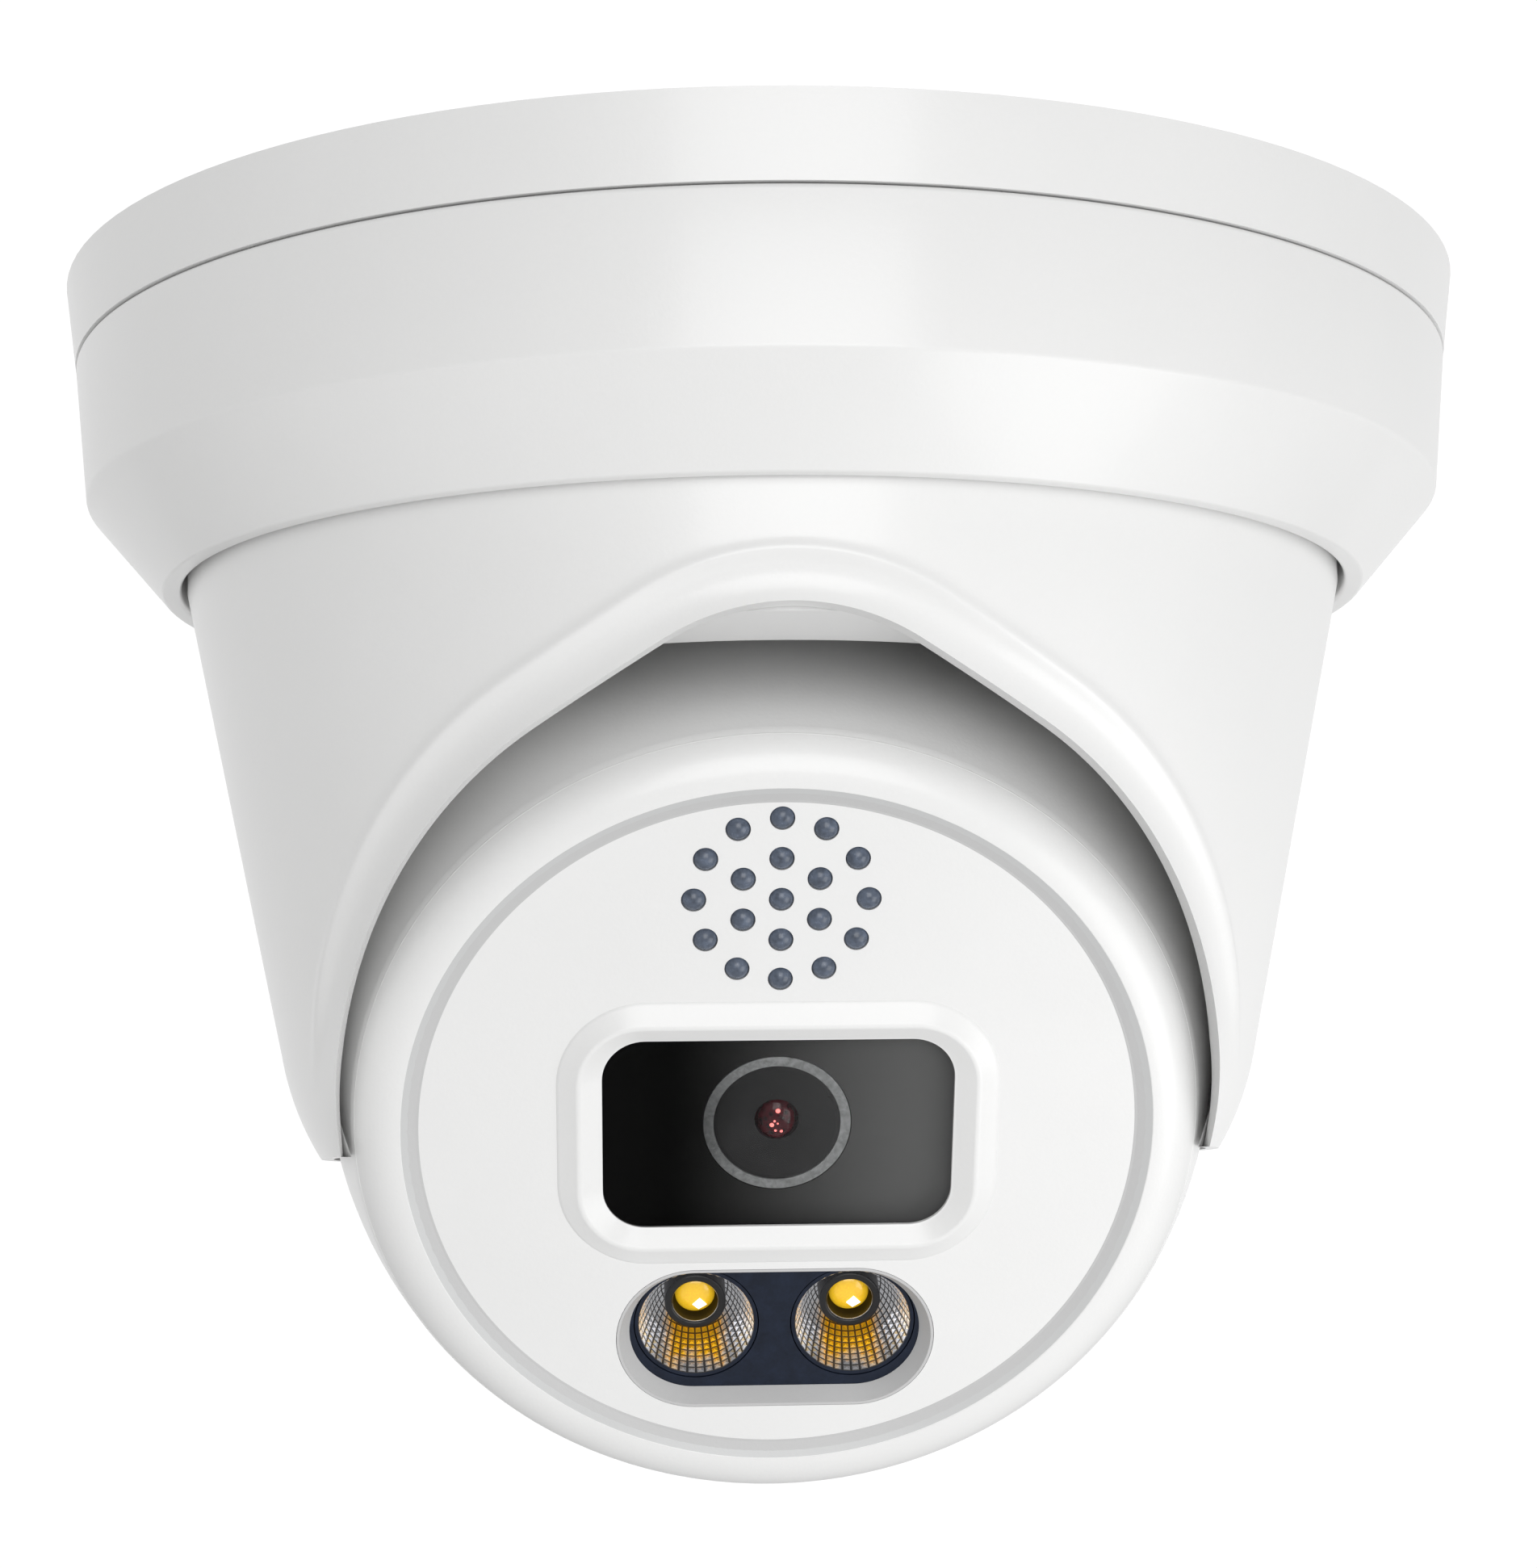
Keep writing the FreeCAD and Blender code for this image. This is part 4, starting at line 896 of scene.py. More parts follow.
@dataclass(frozen=True)
class BallAxes:
    """The ball's own frame: x across, y up the face, z out along the optical axis."""

    origin: Vector
    across: Vector
    up: Vector
    out: Vector

    @classmethod
    def from_frame(cls) -> "BallAxes":
        """Read the frame's roll joint for the ball's centre and its axis."""
        roll = next(j for j in frame["joints"] if j["name"] == "roll")
        out = Vector(roll["axis"]).normalized()
        across = Vector((1.0, 0.0, 0.0))
        return cls(Vector(roll["pos_m"]), across, out.cross(across), out)

    @property
    def place(self) -> Matrix:
        """Matrix from the ball's frame to the world."""
        turned = Matrix((self.across, self.up, self.out)).transposed().to_4x4()
        return Matrix.Translation(self.origin) @ turned

# ---------------------------------------------------------------- ceiling base

@dataclass
class CeilingBase:
    """The fixed ring: the plate keeps its own shape, and the trim ring gets soft edges."""

    palette: Palette
    edge_radius: float = 67.0
    edge_level: float = -21.1
    lip_radius: float = 59.6
    top_radius: float = 68.2
    bore: float = 57.8
    wall: float = 64.8
    lip_top: float = -24.6
    lip_pocket: float = 62.0
    edge_round: float = 0.9
    lip_round: float = 0.45
    wall_chamfer: float = 1.0
    pocket_rise: float = 1.6
    inner_round: float = 0.2
    drill_radius: float = 1.85
    drill_reach: float = 8.0
    seam_lift: float = 0.16

    def make(self) -> None:
        """Turn the trim ring with rounded edges and its lock screw's hole."""
        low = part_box("trim_ring")[0].z / MM
        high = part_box("trim_ring")[1].z / MM + self.seam_lift
        corners = [
            (self.top_radius, high, self.lip_round),
            (self.edge_radius, self.edge_level, self.edge_round),
            (self.lip_radius, low, self.lip_round), (self.bore, low, self.lip_round)]
        corners += [(radius, level, self.inner_round) for radius, level in (
            (self.bore, self.lip_top), (self.lip_pocket, self.lip_top),
            (self.lip_pocket, self.lip_top + self.pocket_rise),
            (self.wall, self.edge_level + self.wall_chamfer), (self.wall, high))]
        ring = lathe("trim_ring_soft", rounded(corners, closed=True))
        middle = sum(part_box("trim_lock_screw"), Vector()) / 2
        drill = lathe("trim_drill",
                      [(self.drill_radius, -self.drill_reach), (self.drill_radius, self.drill_reach)],
                      Matrix.Translation(middle) @ Matrix.Rotation(math.pi / 2, 4, "X"), 48, False)
        apply_cut(ring, drill)
        self.palette.settle(ring, "white_shell", "base", "white_shell", "trim_ring")


# ---------------------------------------------------------------- turret

@dataclass
class TurretShroud:
    """The turning cowl with its arched opening and the soft dished band round the arch."""

    palette: Palette
    neck_radius: float = 57.2
    neck_top: float = -21.5
    flange_radius: float = 60.8
    flange_bottom: float = -24.0
    cone_top: float = -29.7
    cone_foot_radius: float = 47.7
    cone_foot: float = -75.0
    tip_radius: float = 43.9
    tip_level: float = -84.8
    inner_radius: float = 42.7
    foot_curve: float = 28.0
    wall: float = 2.3
    neck_bore: float = 54.5
    apex_level: float = -39.7
    apex_curve: float = 22.0
    flank_end: float = 22.0
    flank_slope: float = 30.0
    arch_half_width: float = 40.8
    arch_bottom: float = -95.0
    band_width: float = 4.3
    band_dish: float = 0.50
    crest_lift: float = 0.34
    crest_width: float = 0.8
    fade_level: float = -80.0
    fade_height: float = 12.0
    crowding: float = 1.7
    columns: int = 720
    rows: int = 96

    def outer_profile(self) -> tuple[np.ndarray, np.ndarray]:
        """Heights and outer radii from the neck down to the tip."""
        chord = Vector((self.tip_radius - self.cone_foot_radius, self.tip_level - self.cone_foot))
        middle = Vector((self.cone_foot_radius, self.cone_foot)) + chord / 2
        side = Vector((chord.y, -chord.x)).normalized()
        rise = math.sqrt(self.foot_curve ** 2 - (chord.length / 2) ** 2)
        centre = min((middle + side * rise, middle - side * rise), key=lambda c: c.x)
        levels = np.linspace(self.cone_foot, self.tip_level, 16)
        arc = centre.x + np.sqrt(self.foot_curve ** 2 - (levels - centre.y) ** 2)
        heights = np.concatenate([[self.neck_top, self.cone_top], levels])
        radii = np.concatenate([[self.neck_radius, self.neck_radius], arc])
        radii[2] = self.cone_foot_radius
        return heights, radii

    def radius_at(self, level: np.ndarray) -> np.ndarray:
        """Outer radius at each height."""
        heights, radii = self.outer_profile()
        return np.interp(-np.asarray(level), -heights, radii)

    def inner_at(self, level: np.ndarray) -> np.ndarray:
        """Inner radius at each height."""
        thin = np.interp(-np.asarray(level), [-self.cone_top, -self.cone_foot, -self.tip_level],
                         [self.neck_radius - self.neck_bore, self.wall,
                          self.tip_radius - self.inner_radius])
        return self.radius_at(level) - thin

    def arch_curve(self) -> np.ndarray:
        """Right half of the arch in the front view, from the apex down."""
        slope = math.radians(self.flank_slope)
        turn = np.linspace(0, slope, 40)
        apex = np.column_stack([self.apex_curve * np.sin(turn),
                                self.apex_level - self.apex_curve * (1 - np.cos(turn))])
        flank_x = np.linspace(apex[-1, 0], self.flank_end, 30)[1:]
        flank = np.column_stack([flank_x, apex[-1, 1] - (flank_x - apex[-1, 0]) * math.tan(slope)])
        side = (self.arch_half_width - self.flank_end) / (1 - math.sin(slope))
        centre = flank[-1] - side * np.array([math.sin(slope), math.cos(slope)])
        bend = np.linspace(math.pi / 2 - slope, 0, 60)[1:]
        curve = np.column_stack([centre[0] + side * np.cos(bend), centre[1] + side * np.sin(bend)])
        down = np.linspace(curve[-1, 1], self.arch_bottom, 80)[1:]
        return np.vstack([apex, flank, curve,
                          np.column_stack([np.full(len(down), self.arch_half_width), down])])

    def arch_on_cone(self) -> np.ndarray:
        """The arch's edge on the outer surface: turn angle, height and place of each point."""
        curve = self.arch_curve()
        fine = np.linspace(0, len(curve) - 1, 2400)
        x = np.interp(fine, range(len(curve)), curve[:, 0])
        z = np.interp(fine, range(len(curve)), curve[:, 1])
        keep = z > self.tip_level
        x, z = x[keep], z[keep]
        radius = self.radius_at(z)
        turn = np.arcsin(np.clip(x / radius, -1, 1))
        return np.column_stack([turn, z, x, -np.sqrt(radius ** 2 - x ** 2)])

    def mesh(self) -> bpy.types.Object:
        """Build the cowl column by column, from the flange down to the arch or the tip."""
        edge = self.arch_on_cone()
        ends = edge[-1, 0]
        half = self.columns // 2
        front = np.interp(np.linspace(0, 1, half // 2 + 40), np.linspace(0, 1, len(edge)), edge[:, 0])
        back = np.linspace(ends, math.pi, half - len(front) + 2)[1:-1]
        right = np.concatenate([front, back])
        turns = np.concatenate([right, [math.pi], -right[::-1][:-1]])
        bottoms = np.where(np.abs(turns) <= ends + 1e-9,
                           np.interp(np.abs(turns), edge[:, 0], edge[:, 1]), self.tip_level)
        cloud = edge[:, [2, 3, 1]]
        cloud = np.vstack([cloud, cloud * np.array([-1, 1, 1])])
        share = 1 - (1 - np.linspace(0, 1, self.rows)) ** self.crowding
        levels = self.cone_top + np.outer(share, bottoms - self.cone_top)
        skin = self._dish(around(self.radius_at(levels), turns, levels), cloud)
        rings = [*self._flange_rings(turns), *skin, *self._edge_rings(skin[-1], turns, ends)]
        points, faces = sweep_rings(rings, closed=True)
        return build("turret_cowl", points, outward(points, faces), 40.0)

    def _flange_rings(self, turns: np.ndarray) -> list[np.ndarray]:
        """Rings of the flange that the carrier is screwed to, from its bore outward and down."""
        corners = [(self.neck_bore, self.neck_top), (self.flange_radius, self.neck_top),
                   (self.flange_radius, self.flange_bottom), (self.neck_radius, self.flange_bottom)]
        return [around(radius, turns, level) for radius, level in corners]

    def _dish(self, skin: np.ndarray, cloud: np.ndarray) -> np.ndarray:
        """Press the band next to the arch inward and raise the soft crest outside it.

        Args:
            skin: Points by row and column.
            cloud: Points of the arch's edge.

        Returns:
            The moved points.
        """
        flat = skin.reshape(-1, 3)
        away = np.full(len(flat), 1e9)
        near = (flat[:, 1] < 0)
        for start in range(0, len(cloud), 200):
            gap = flat[near][:, None, :] - cloud[None, start:start + 200, :]
            away[near] = np.minimum(away[near], np.sqrt((gap ** 2).sum(axis=2)).min(axis=1))
        fade = np.clip((flat[:, 2] - self.fade_level) / self.fade_height, 0, 1)
        fade = fade * fade * (3 - 2 * fade)
        share = np.clip(away / self.band_width, 0, 1)
        dish = np.sin(math.pi * share) * self.band_dish
        crest = np.exp(-((away - self.band_width) / self.crest_width) ** 2) * self.crest_lift
        shift = (crest - dish) * fade
        radius = np.hypot(flat[:, 0], flat[:, 1])
        moved = flat.copy()
        moved[:, 0] += flat[:, 0] / radius * shift
        moved[:, 1] += flat[:, 1] / radius * shift
        return moved.reshape(skin.shape)

    def _edge_rings(self, last: np.ndarray, turns: np.ndarray, ends: float) -> list[np.ndarray]:
        """Rings over the arch's cut edge and back up the inner wall.

        Args:
            last: The outer surface's lowest ring.
            turns: Each column's turn.
            ends: Turn at which the arch gives way to the closed back.

        Returns:
            The rings, from the edge to the neck's bore.
        """
        radius = self.inner_at(last[:, 2])
        under_arch = (np.abs(turns) <= ends) & (np.abs(last[:, 0]) < radius)
        depth = np.sqrt(np.maximum(radius ** 2 - last[:, 0] ** 2, 0.0))
        inside = np.where(under_arch[:, None], np.column_stack([last[:, 0], -depth, last[:, 2]]),
                          around(radius, turns, last[:, 2]))
        rings = [last + (inside - last) * share for share in (0.12, 0.5, 0.88, 1.0)]
        angle = np.arctan2(inside[:, 0], -inside[:, 1])
        rear = np.abs(turns) > math.pi - 1e-6
        for share in np.linspace(0.12, 1.0, 14):
            level = inside[:, 2] + (self.cone_top - inside[:, 2]) * share
            spin = np.where(rear, turns, angle + (turns - angle) * share)
            rings.append(around(self.inner_at(level), spin, level))
        return rings

    def make(self) -> None:
        """Build the cowl and settle it."""
        self.palette.settle(self.mesh(), "white_shell", "turret", "white_shell", "turret_shroud")


# ---------------------------------------------------------------- ball

@dataclass
class BallLead:
    """The lead that leaves the tilting ball through its gland."""

    palette: Palette
    axes: BallAxes
    lead_radius: float = 1.75
    gland_tip: float = 34.5
    gland_overlap: float = 1.5
    lead_stub: float = 7.0
    sides: int = 28
    bends: tuple[Colour, ...] = ((0, 36.0, -43.5), (0, 29.0, -33.2), (0, 15.0, -28.2), (0, 0, -27.7),
                                 (0, 0, -20.0))

    def route(self) -> list[Vector]:
        """The lead's control points, from the gland up into the base."""
        centre, back = self.axes.origin / MM, -self.axes.out
        ends = (self.gland_tip - self.gland_overlap, self.gland_tip + self.lead_stub)
        return [*(centre + back * reach for reach in ends), *(Vector(bend) for bend in self.bends)]

    def lead(self) -> bpy.types.Object:
        """Sweep the lead along a smooth line through its route."""
        data = bpy.data.curves.new("lead_line", "CURVE")
        data.dimensions, data.resolution_u = "3D", 20
        route = self.route()
        spline = data.splines.new("NURBS")
        spline.points.add(len(route) - 1)
        for spot, place in zip(spline.points, route):
            spot.co = (*place, 1.0)
        spline.order_u, spline.use_endpoint_u = 3, True
        line = bpy.data.objects.new("lead_line", data)
        path = bpy.data.meshes.new_from_object(line)
        spots = [v.co.copy() for v in path.vertices]
        bpy.data.objects.remove(line)
        rings, turn = [], np.linspace(0, FULL_TURN, self.sides, endpoint=False)
        for i, spot in enumerate(spots):
            ahead = (spots[min(i + 1, len(spots) - 1)] - spots[max(i - 1, 0)]).normalized()
            side = Vector((1, 0, 0))
            lift = ahead.cross(side).normalized()
            rings.append(np.array([spot + (side * math.cos(t) + lift * math.sin(t)) * self.lead_radius
                                   for t in turn]))
        points, faces = sweep_rings(rings, caps=(True, True))
        return build("harness_lead_smooth", points, outward(points, faces), 50.0)

    def make(self) -> None:
        """Build the lead from the ball's gland up into the base."""
        lead = self.lead()
        self.palette.coat(lead, "cable_black")
        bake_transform(lead)
        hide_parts("harness_lead")
        log.info("harness_lead_smooth bends from turret to ball")


# ---------------------------------------------------------------- front face

@dataclass
class SpeakerDomes:
    """Small dark domes behind the speaker's round openings."""

    palette: Palette
    axes: BallAxes
    centre: float = 24.0
    hole: float = 1.15
    inner_ring: float = 4.03
    outer_ring: float = 7.98
    crown: float = 20.15
    foot: float = 18.3
    clearance: float = 0.01
    height_share: float = 0.85
    sides: int = 32

    def spots(self) -> list[Point2]:
        """Places of the openings: one in the middle, six and twelve round it."""
        found = [(0.0, self.centre)]
        for radius, count in ((self.inner_ring, 6), (self.outer_ring, 12)):
            for turn in (FULL_TURN * k / count for k in range(count)):
                found.append((radius * math.sin(turn), self.centre + radius * math.cos(turn)))
        return found

    def dome(self, spot: Point2) -> Skin:
        """One dome on its short round foot.

        Args:
            spot: Where its axis passes.

        Returns:
            The dome's points and faces.
        """
        radius = self.hole - self.clearance
        profile = [(radius, self.foot)]
        profile += [(radius * math.cos(a), self.crown - radius * self.height_share * (1 - math.sin(a)))
                    for a in np.linspace(0, 0.96, 9) * math.pi / 2]
        return sweep_rings([ellipse(r, r, level, spot, self.sides) for r, level in profile],
                           caps=(True, True))

    def make(self) -> None:
        """Build all the domes as one piece."""
        points, faces = joined(self.dome(spot) for spot in self.spots())
        domes = build("speaker_domes", points, faces, 60.0, self.axes.place)
        self.palette.settle(domes, "dome_blue", "front", "mesh_dark")


@dataclass
class WindowBezel:
    """The raised frame round the window, with a soft crest."""

    palette: Palette
    axes: BallAxes
    foot: tuple[float, float, float] = (20.7, 13.75, 8.5)
    crest: tuple[float, float, float] = (18.6, 11.55, 6.0)
    inner: tuple[float, float, float] = (16.4, 9.75, 4.0)
    plate_level: float = 19.65
    crest_level: float = 20.76
    crest_share: float = 0.54

    def _section(self) -> list[tuple[float, float]]:
        """Cross-section of the frame: share of the way from inner to foot edge, and height."""
        top = self.crest_level
        return [(0.0, self.plate_level - 0.2), (0.012, self.plate_level + 0.05), (0.05, 19.76),
                (0.06, 19.78), (0.09, 19.845), (0.46, top - 0.104), (0.48, top - 0.06),
                (0.50, top - 0.025), (self.crest_share, top), (0.58, top - 0.025), (0.60, top - 0.06),
                (0.62, top - 0.112), (0.93, 19.86), (0.96, 19.80), (0.985, 19.70),
                (1.0, self.plate_level - 0.01)]

    def frame_piece(self) -> bpy.types.Object:
        """Skin the frame through nested rounded rectangles."""
        rings = []
        mid = self.crest_share
        for share, level in self._section():
            if share <= mid:
                a, b, t = self.inner, self.crest, share / mid
            else:
                a, b, t = self.crest, self.foot, (share - mid) / (1 - mid)
            flat = round_rectangle(*(p + (q - p) * t for p, q in zip(a, b)))
            rings.append(np.column_stack([flat, np.full(len(flat), level)]))
        points, faces = sweep_rings(rings, closed=True)
        return build("window_frame", points, outward(points, faces), 18.0, self.axes.place)

    def make(self) -> None:
        """Build the frame and settle it."""
        self.palette.settle(self.frame_piece(), "white_shell", "front", "white_shell", "window_bezel")


@dataclass
class FaceTrim:
    """The inlay in the groove round the face, grey as painted shade, its rim, and the front lens with its
    painted glints.
    """

    palette: Palette
    axes: BallAxes
    inner: float = 33.45
    outer: float = 35.22
    inner_level: float = 19.66
    outer_level: float = 20.34
    thickness: float = 0.25
    lens_half: Point2 = (1.85, 2.3)
    lens_drop: float = -0.4
    lens_foot: float = 15.75
    lens_crown: float = 1.1
    ball_radius: float = 43.64
    ball_level: float = 17.45
    rim_turn: float = 68.0
    glint_beads: tuple[Colour, ...] = ((0.12, 1.25, 0.24), (-0.45, -0.15, 0.22), (-0.2, 0.25, 0.12),
                                 (0.1, 0.0, 0.1), (-0.1, -0.75, 0.13), (0.45, -0.85, 0.15))

    def inlay(self) -> bpy.types.Object:
        """Turn the sloped ring that fills the groove."""
        corners = [(self.inner, self.inner_level, 0.05), (self.inner + 0.3, self.inner_level + 0.04, 0.1),
                   (self.outer - 0.2, self.outer_level - 0.06, 0.15), (self.outer, self.outer_level, 0.0),
                   (self.outer, self.outer_level - self.thickness, 0.0),
                   (self.inner + 0.3, self.inner_level - self.thickness, 0.0)]
        return lathe("groove_inlay", rounded(corners, 4, closed=True), self.axes.place)

    def rim(self) -> bpy.types.Object:
        """Turn the full round rim that runs from the groove onto the ball."""
        start, end = self.outer_level + 0.08, self.ball_level
        ball = math.sqrt(self.ball_radius ** 2 - end ** 2)
        chord = Vector((ball - self.outer, end - start))
        normal = Vector((-chord.y, chord.x)).normalized()
        half = math.radians(self.rim_turn) / 2
        radius = chord.length / 2 / math.sin(half)
        centre = Vector((self.outer, start)) + chord / 2 - normal * radius * math.cos(half)
        first = Vector((self.outer, start)) - centre
        profile = [tuple(centre + Matrix.Rotation(-2 * half * k / 28, 2) @ first) for k in range(29)]
        profile += [(ball - 0.4, end - 0.1), (self.outer + 2.4, start - 1.4), (self.outer, start - 0.5)]
        return lathe("face_rim", profile, self.axes.place)

    def lens_height(self, x: float, y: float) -> float:
        """Height of the front lens's dome over a place given from its middle."""
        left = 1 - (x / self.lens_half[0]) ** 2 - (y / self.lens_half[1]) ** 2
        return self.lens_foot + self.lens_crown * math.sqrt(max(left, 0.0))

    def dome(self) -> bpy.types.Object:
        """Front lens: a low dome, a little taller than it is wide."""
        profile = [(1.0, self.lens_foot - 0.6)]
        profile += [(math.cos(lift), self.lens_foot + self.lens_crown * math.sin(lift))
                    for lift in np.linspace(0, 1.5, 14)]
        half_x, half_y = self.lens_half
        rings = [ellipse(half_x * share, half_y * share, level, (0.0, self.lens_drop), 72)
                 for share, level in profile]
        points, faces = sweep_rings(rings, caps=(True, True))
        return build("lens_dome", points, outward(points, faces), 60.0, self.axes.place)

    def bead(self, x: float, y: float, size: float) -> Skin:
        """One flattened glowing bead on the front lens, a painted glint.

        Args:
            x: Its place from the lens's middle.
            y: The same, up the face.
            size: Its radius.

        Returns:
            The bead's points and faces.
        """
        level, middle = self.lens_height(x, y), (x, y + self.lens_drop)
        profile = [(size * math.cos(a), level + 0.5 * size * math.sin(a))
                   for a in np.linspace(0, 1.4, 5)]
        rings = [ellipse(radius, radius, height, middle, 16) for radius, height in profile]
        return sweep_rings(rings, caps=(True, True))

    def painted_glints(self) -> bpy.types.Object:
        """Tiny glowing beads on the front lens: painted glints where the coating catches the light."""
        points, faces = joined(self.bead(*row) for row in self.glint_beads)
        return build("lens_painted_glints", points, faces, 60.0, self.axes.place)

    def make(self) -> None:
        """Build the trim pieces and settle them."""
        inlay, painted_glints, rim, dome = self.inlay(), self.painted_glints(), self.rim(), self.dome()
        self.palette.settle(dome, "lens_glass", "front", "lens_glass", "front_lens")
        self.palette.settle(rim, "white_shell", "front", "white_shell")
        # Painted shade: the groove's inlay is grey.
        self.palette.settle(inlay, "groove_painted_shade", "front", "white_shell")
        # Painted glints: the red beads on the lens glow.
        self.palette.settle(painted_glints, "painted_glint_red", "front", "lens_glass")


@dataclass
class LightCups:
    """Two faceted reflector cups with their chips."""

    palette: Palette
    axes: BallAxes
    mouth: float = 5.6
    throat: float = 2.7
    curve: float = 0.62
    press: float = 0.16
    rim: float = 5.95
    rim_depth: float = 1.2
    wall: float = 0.5
    collar_outer: float = 3.0
    collar_inner: float = 2.25
    collar_top: float = 14.0
    bead: float = 0.09
    dome_radius: float = 1.95
    dome_foot: float = 12.3
    dome_height: float = 0.7
    glint_half: float = 0.62
    glint_shift: Point2 = (0.35, -0.75)
    glint_level: float = 12.95
    glint_thick: float = 0.08

    @property
    def centres(self) -> tuple[Point2, Point2]:
        """Where the two cups' axes pass."""
        return (-CUPS.across, CUPS.height), (CUPS.across, CUPS.height)

    def one_cup(self, centre: Point2) -> Skin:
        """One cup: small flat mirrors, each pressed in at its middle, and an outer wall.

        Args:
            centre: Where its axis passes.

        Returns:
            The cup's points and faces.
        """
        sides, rows = CUPS.facets, CUPS.rows
        rings = []
        for share in (row / rows for row in range(rows + 1)):
            radius = self.throat + (self.mouth - self.throat) * share ** self.curve
            level = CUPS.floor + (CUPS.mouth - CUPS.floor) * share
            rings.append(ellipse(radius, radius, level, centre, sides))
        grid, hubs, faces = np.vstack(rings), [], []
        for row in range(rows):
            for k in range(sides):
                low, high, n = row * sides, (row + 1) * sides, (k + 1) % sides
                quad = [low + k, high + k, high + n, low + n]
                middle = grid[quad].mean(axis=0)
                inward = np.array([*centre, middle[2]]) - middle
                faces += [[b, a, len(grid) + len(hubs)] for a, b in zip(quad, quad[1:] + quad[:1])]
                hubs.append(middle + inward / np.linalg.norm(inward) * self.press)
        outer = [ellipse(radius, radius, level, centre, sides)
                 for radius, level in ((self.rim, CUPS.mouth), (self.rim, CUPS.mouth - self.rim_depth),
                                       (self.throat + self.wall, CUPS.floor))]
        first = len(grid) + len(hubs)
        loop = [rows * sides, *(first + ring * sides for ring in range(len(outer))), 0]
        for a, b in zip(loop, loop[1:]):
            faces += [[a + k, b + k, b + (k + 1) % sides, a + (k + 1) % sides] for k in range(sides)]
        return np.vstack([grid, hubs, *outer]), faces

    def collar_section(self) -> list[Point2]:
        """Section of the dark rings that stand in the throats, with their floors."""
        top, foot = CUPS.floor - 0.05, CUPS.floor - 0.15
        return rounded([(0.0, top, 0), (self.collar_inner, top, 0),
                        (self.collar_inner, self.collar_top, 0.2),
                        (self.collar_outer, self.collar_top, 0.2),
                        (self.collar_outer, foot, 0), (0.0, foot, 0)], 5)

    def ring_section(self) -> list[Point2]:
        """Section of the bright bead inside each collar."""
        return [(self.collar_inner + 0.05 + self.bead * math.cos(a),
                 self.collar_top - 0.25 + self.bead * math.sin(a))
                for a in np.linspace(0, FULL_TURN, 10)]

    def dome_section(self) -> list[Point2]:
        """Section of the low yellow domes over the chips."""
        return [(self.dome_radius, CUPS.floor)] + [
            (self.dome_radius * math.cos(a), self.dome_foot + self.dome_height * math.sin(a))
            for a in np.linspace(0, math.pi / 2 * 0.97, 12)]

    def glint(self, centre: Point2) -> Skin:
        """Small glowing square on the lower right of a chip, a painted glint.

        Args:
            centre: Where the chip's axis passes.

        Returns:
            The glint's points and faces.
        """
        x, y = (spot + shift for spot, shift in zip(centre, self.glint_shift))
        half = self.glint_half
        ring = [(x + half * 1.3, y - 0.1), (x + 0.1, y + half), (x - half, y - 0.1), (x, y - half)]
        points = [(a, b, level) for level in (self.glint_level, self.glint_level + self.glint_thick)
                  for a, b in ring]
        faces = [[3, 2, 1, 0], [4, 5, 6, 7]]
        faces += [[k, (k + 1) % 4, 4 + (k + 1) % 4, 4 + k] for k in range(4)]
        return np.array(points), faces

    def turned(self, centre: Point2, section: Sequence[Point2]) -> Skin:
        """Turn one section about a cup's axis.

        Args:
            centre: Where the axis passes.
            section: Radius and height of each point.

        Returns:
            The points and the faces.
        """
        rings = [ellipse(max(r, 0.02), max(r, 0.02), level, centre) for r, level in section]
        whole = math.dist(section[0], section[-1]) < 1e-6
        if whole:
            rings.pop()
        points, faces = sweep_rings(rings, whole, (not whole, not whole))
        return points, outward(points - points.mean(axis=0), faces)

    def pair(self, name: str, make: Callable[..., Skin], sharp: float, *shape: Any) -> bpy.types.Object:
        """Make one thing in both cups, as one piece.

        Args:
            name: The piece's name.
            make: Builds the thing for a cup's middle.
            sharp: Edges that turn more than this many degrees stay sharp.
            shape: What else the builder needs.

        Returns:
            The piece.
        """
        points, faces = joined(make(centre, *shape) for centre in self.centres)
        return build(name, points, faces, sharp, self.axes.place)

    def make(self) -> None:
        """Build the cups, collars and chips and settle them."""
        cups = self.pair("faceted_cups", self.one_cup, 3.0)
        for piece, finish, slot, *nodes in (
                (cups, "reflector", "reflector", "light_cups"),
                (self.pair("light_collars", self.turned, 35.0, self.collar_section()),
                 "black_gloss", "dark_plastic"),
                (self.pair("light_rings", self.turned, 35.0, self.ring_section()), "steel", "steel"),
                (self.pair("light_domes", self.turned, 35.0, self.dome_section()),
                 "phosphor", "led_yellow", "light_chips"),
                # Painted glints: small glowing white squares on the chips.
                (self.pair("light_painted_glints", self.glint, 30.0), "painted_glint_white", "led_yellow")):
            self.palette.settle(piece, finish, "front", slot, *nodes)
        cups.data.materials.append(self.palette.finishes["dark_plastic"])
        for face in cups.data.polygons:
            if len(face.vertices) == 4:
                face.material_index = 1


# ---------------------------------------------------------------- studio

@dataclass(frozen=True)
class SoftLight:
    """One square light: where it stands and aims, in metres, its side, and its power in watts."""

    name: str
    place: Colour
    aim: Colour
    size: float
    power: float


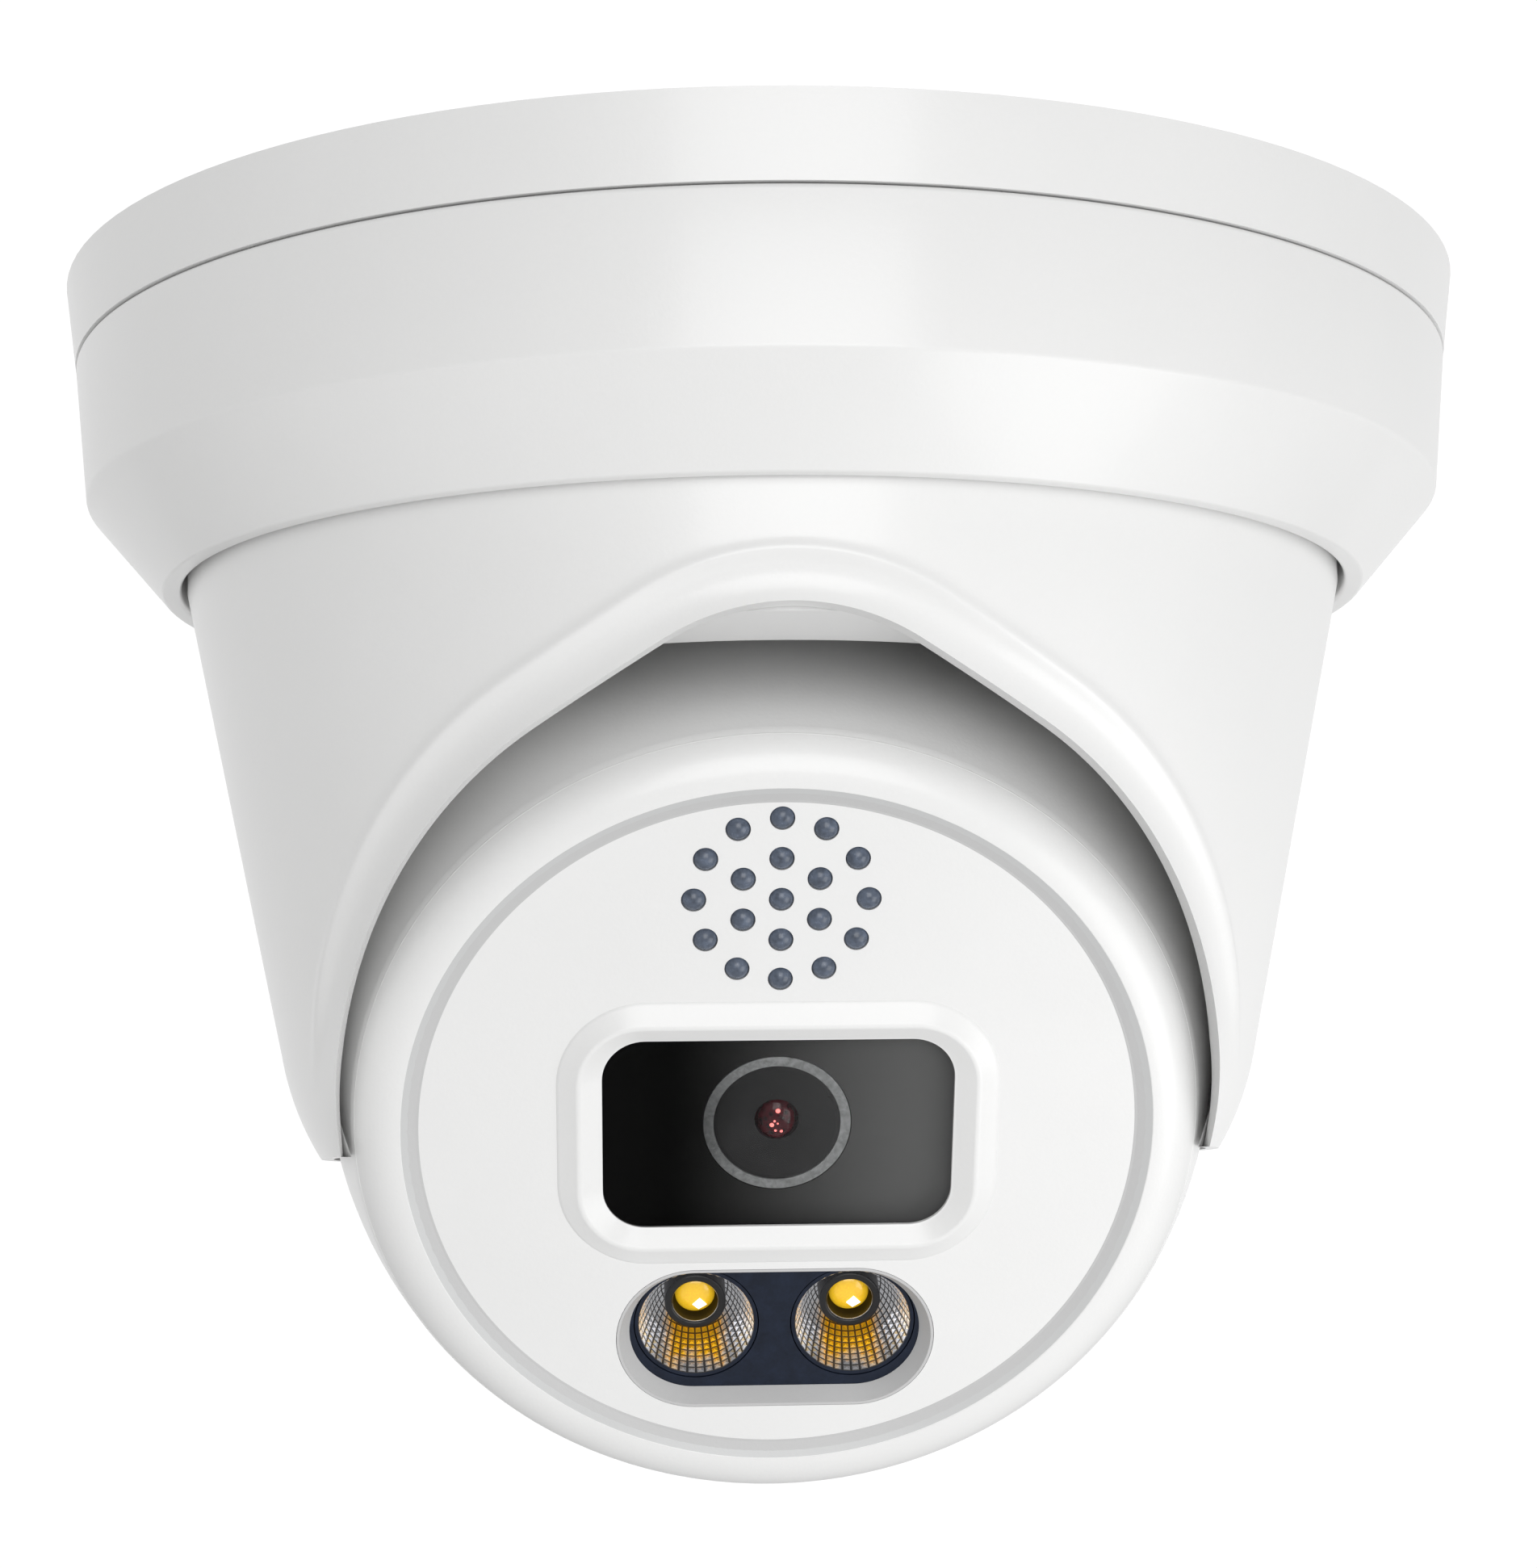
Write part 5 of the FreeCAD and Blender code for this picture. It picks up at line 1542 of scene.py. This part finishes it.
@dataclass
class Studio:
    """Camera, soft lights, pale floor and the bright surround."""

    lens: float = 74.15
    stand: tuple[float, float, float] = (-14.90, -320.61, -90.57)
    heading: float = 2.72
    pitch: float = 7.58
    roll: float = -0.74
    floor_level: float = -0.75
    floor_radius: float = 2.6
    near_glow: float = 0.50
    far_glow: float = 1.05
    lights: tuple[SoftLight, ...] = (
        SoftLight("key", (0.14, -0.12, -0.17), (0.01, -0.03, -0.09), 0.13, 0.125),
        SoftLight("front", (0.04, -0.80, -0.08), (0.0, 0.0, -0.06), 0.50, 2.6))

    def camera(self) -> None:
        """Place the camera."""
        data = bpy.data.cameras.new("view")
        data.lens, data.sensor_width = self.lens, 36.0
        data.clip_start, data.clip_end = 0.01, 30.0
        data.dof.use_dof = False
        item = bpy.data.objects.new("view", data)
        yaw, pitch, roll = (math.radians(v) for v in (self.heading, self.pitch, self.roll))
        ahead = Vector((math.sin(yaw) * math.cos(pitch), math.cos(yaw) * math.cos(pitch),
                        math.sin(pitch)))
        right = Vector((math.cos(yaw), -math.sin(yaw), 0.0))
        up = right.cross(ahead)
        tilted = right * math.cos(roll) + up * math.sin(roll)
        raised = tilted.cross(ahead)
        turned = Matrix((tilted, raised, -ahead)).transposed().to_4x4()
        item.matrix_world = Matrix.Translation(Vector(self.stand) * MM) @ turned
        bpy.context.scene.collection.objects.link(item)
        bpy.context.scene.camera = item

    def light(self, soft: SoftLight) -> None:
        """Add one light that the camera doesn't see.

        Args:
            soft: The light.
        """
        data = bpy.data.lights.new(soft.name, "AREA")
        data.shape, data.size, data.energy = "SQUARE", soft.size, soft.power
        item = bpy.data.objects.new(soft.name, data)
        item.location = soft.place
        item.visible_camera = False
        item.rotation_mode = "QUATERNION"
        item.rotation_quaternion = (Vector(soft.aim) - Vector(soft.place)).to_track_quat("-Z", "Y")
        bpy.context.scene.collection.objects.link(item)

    def surround(self) -> None:
        """Bright surround, dimmer on the near side so that the shell keeps its shading."""
        world = bpy.data.worlds.new("surround")
        bpy.context.scene.world = world
        world.use_nodes = True
        nodes = Nodes(world.node_tree)
        aim = nodes.make("ShaderNodeTexCoord", {}, {}, "Generated")
        depth = nodes.make("ShaderNodeSeparateXYZ", {}, {0: aim}, "Y")
        white = (1.0, 1.0, 1.0, 1.0)
        near, far = (nodes.make("ShaderNodeBackground", {}, {"Color": white, "Strength": glow}, 0)
                     for glow in (self.near_glow, self.far_glow))
        both = nodes.make("ShaderNodeMixShader", {}, {0: nodes.span(depth, -0.2, 0.85, 0.0, 1.0),
                                                      1: near, 2: far}, 0)
        world.node_tree.links.new(both.socket, world.node_tree.nodes["World Output"].inputs["Surface"])

    def floor(self) -> None:
        """Lay the pale floor."""
        rings = [ellipse(radius, radius, self.floor_level / MM, sides=96)
                 for radius in (self.floor_radius / MM, self.floor_radius * 0.5 / MM)]
        points, faces = sweep_rings(rings, caps=(False, True))
        item = build("floor", points, faces)
        item.data.materials.append(Moulded("floor_pale", (0.82, 0.82, 0.82), 0.7, patch=4.0).material())

    def make(self) -> None:
        """Set up the whole studio."""
        bpy.context.scene.view_settings.view_transform = "Standard"
        self.camera()
        self.surround()
        self.floor()
        for soft in self.lights:
            self.light(soft)


def main() -> None:
    """Build the whole camera around its frame."""
    Studio().make()
    axes = BallAxes.from_frame()
    palette = Palette(axes)
    palette.dress_nodes()
    for part in (CeilingBase, TurretShroud):
        part(palette).make()
    for part in (BallLead, SpeakerDomes, WindowBezel, FaceTrim, LightCups):
        part(palette, axes).make()


if __name__ == "__main__":
    main()
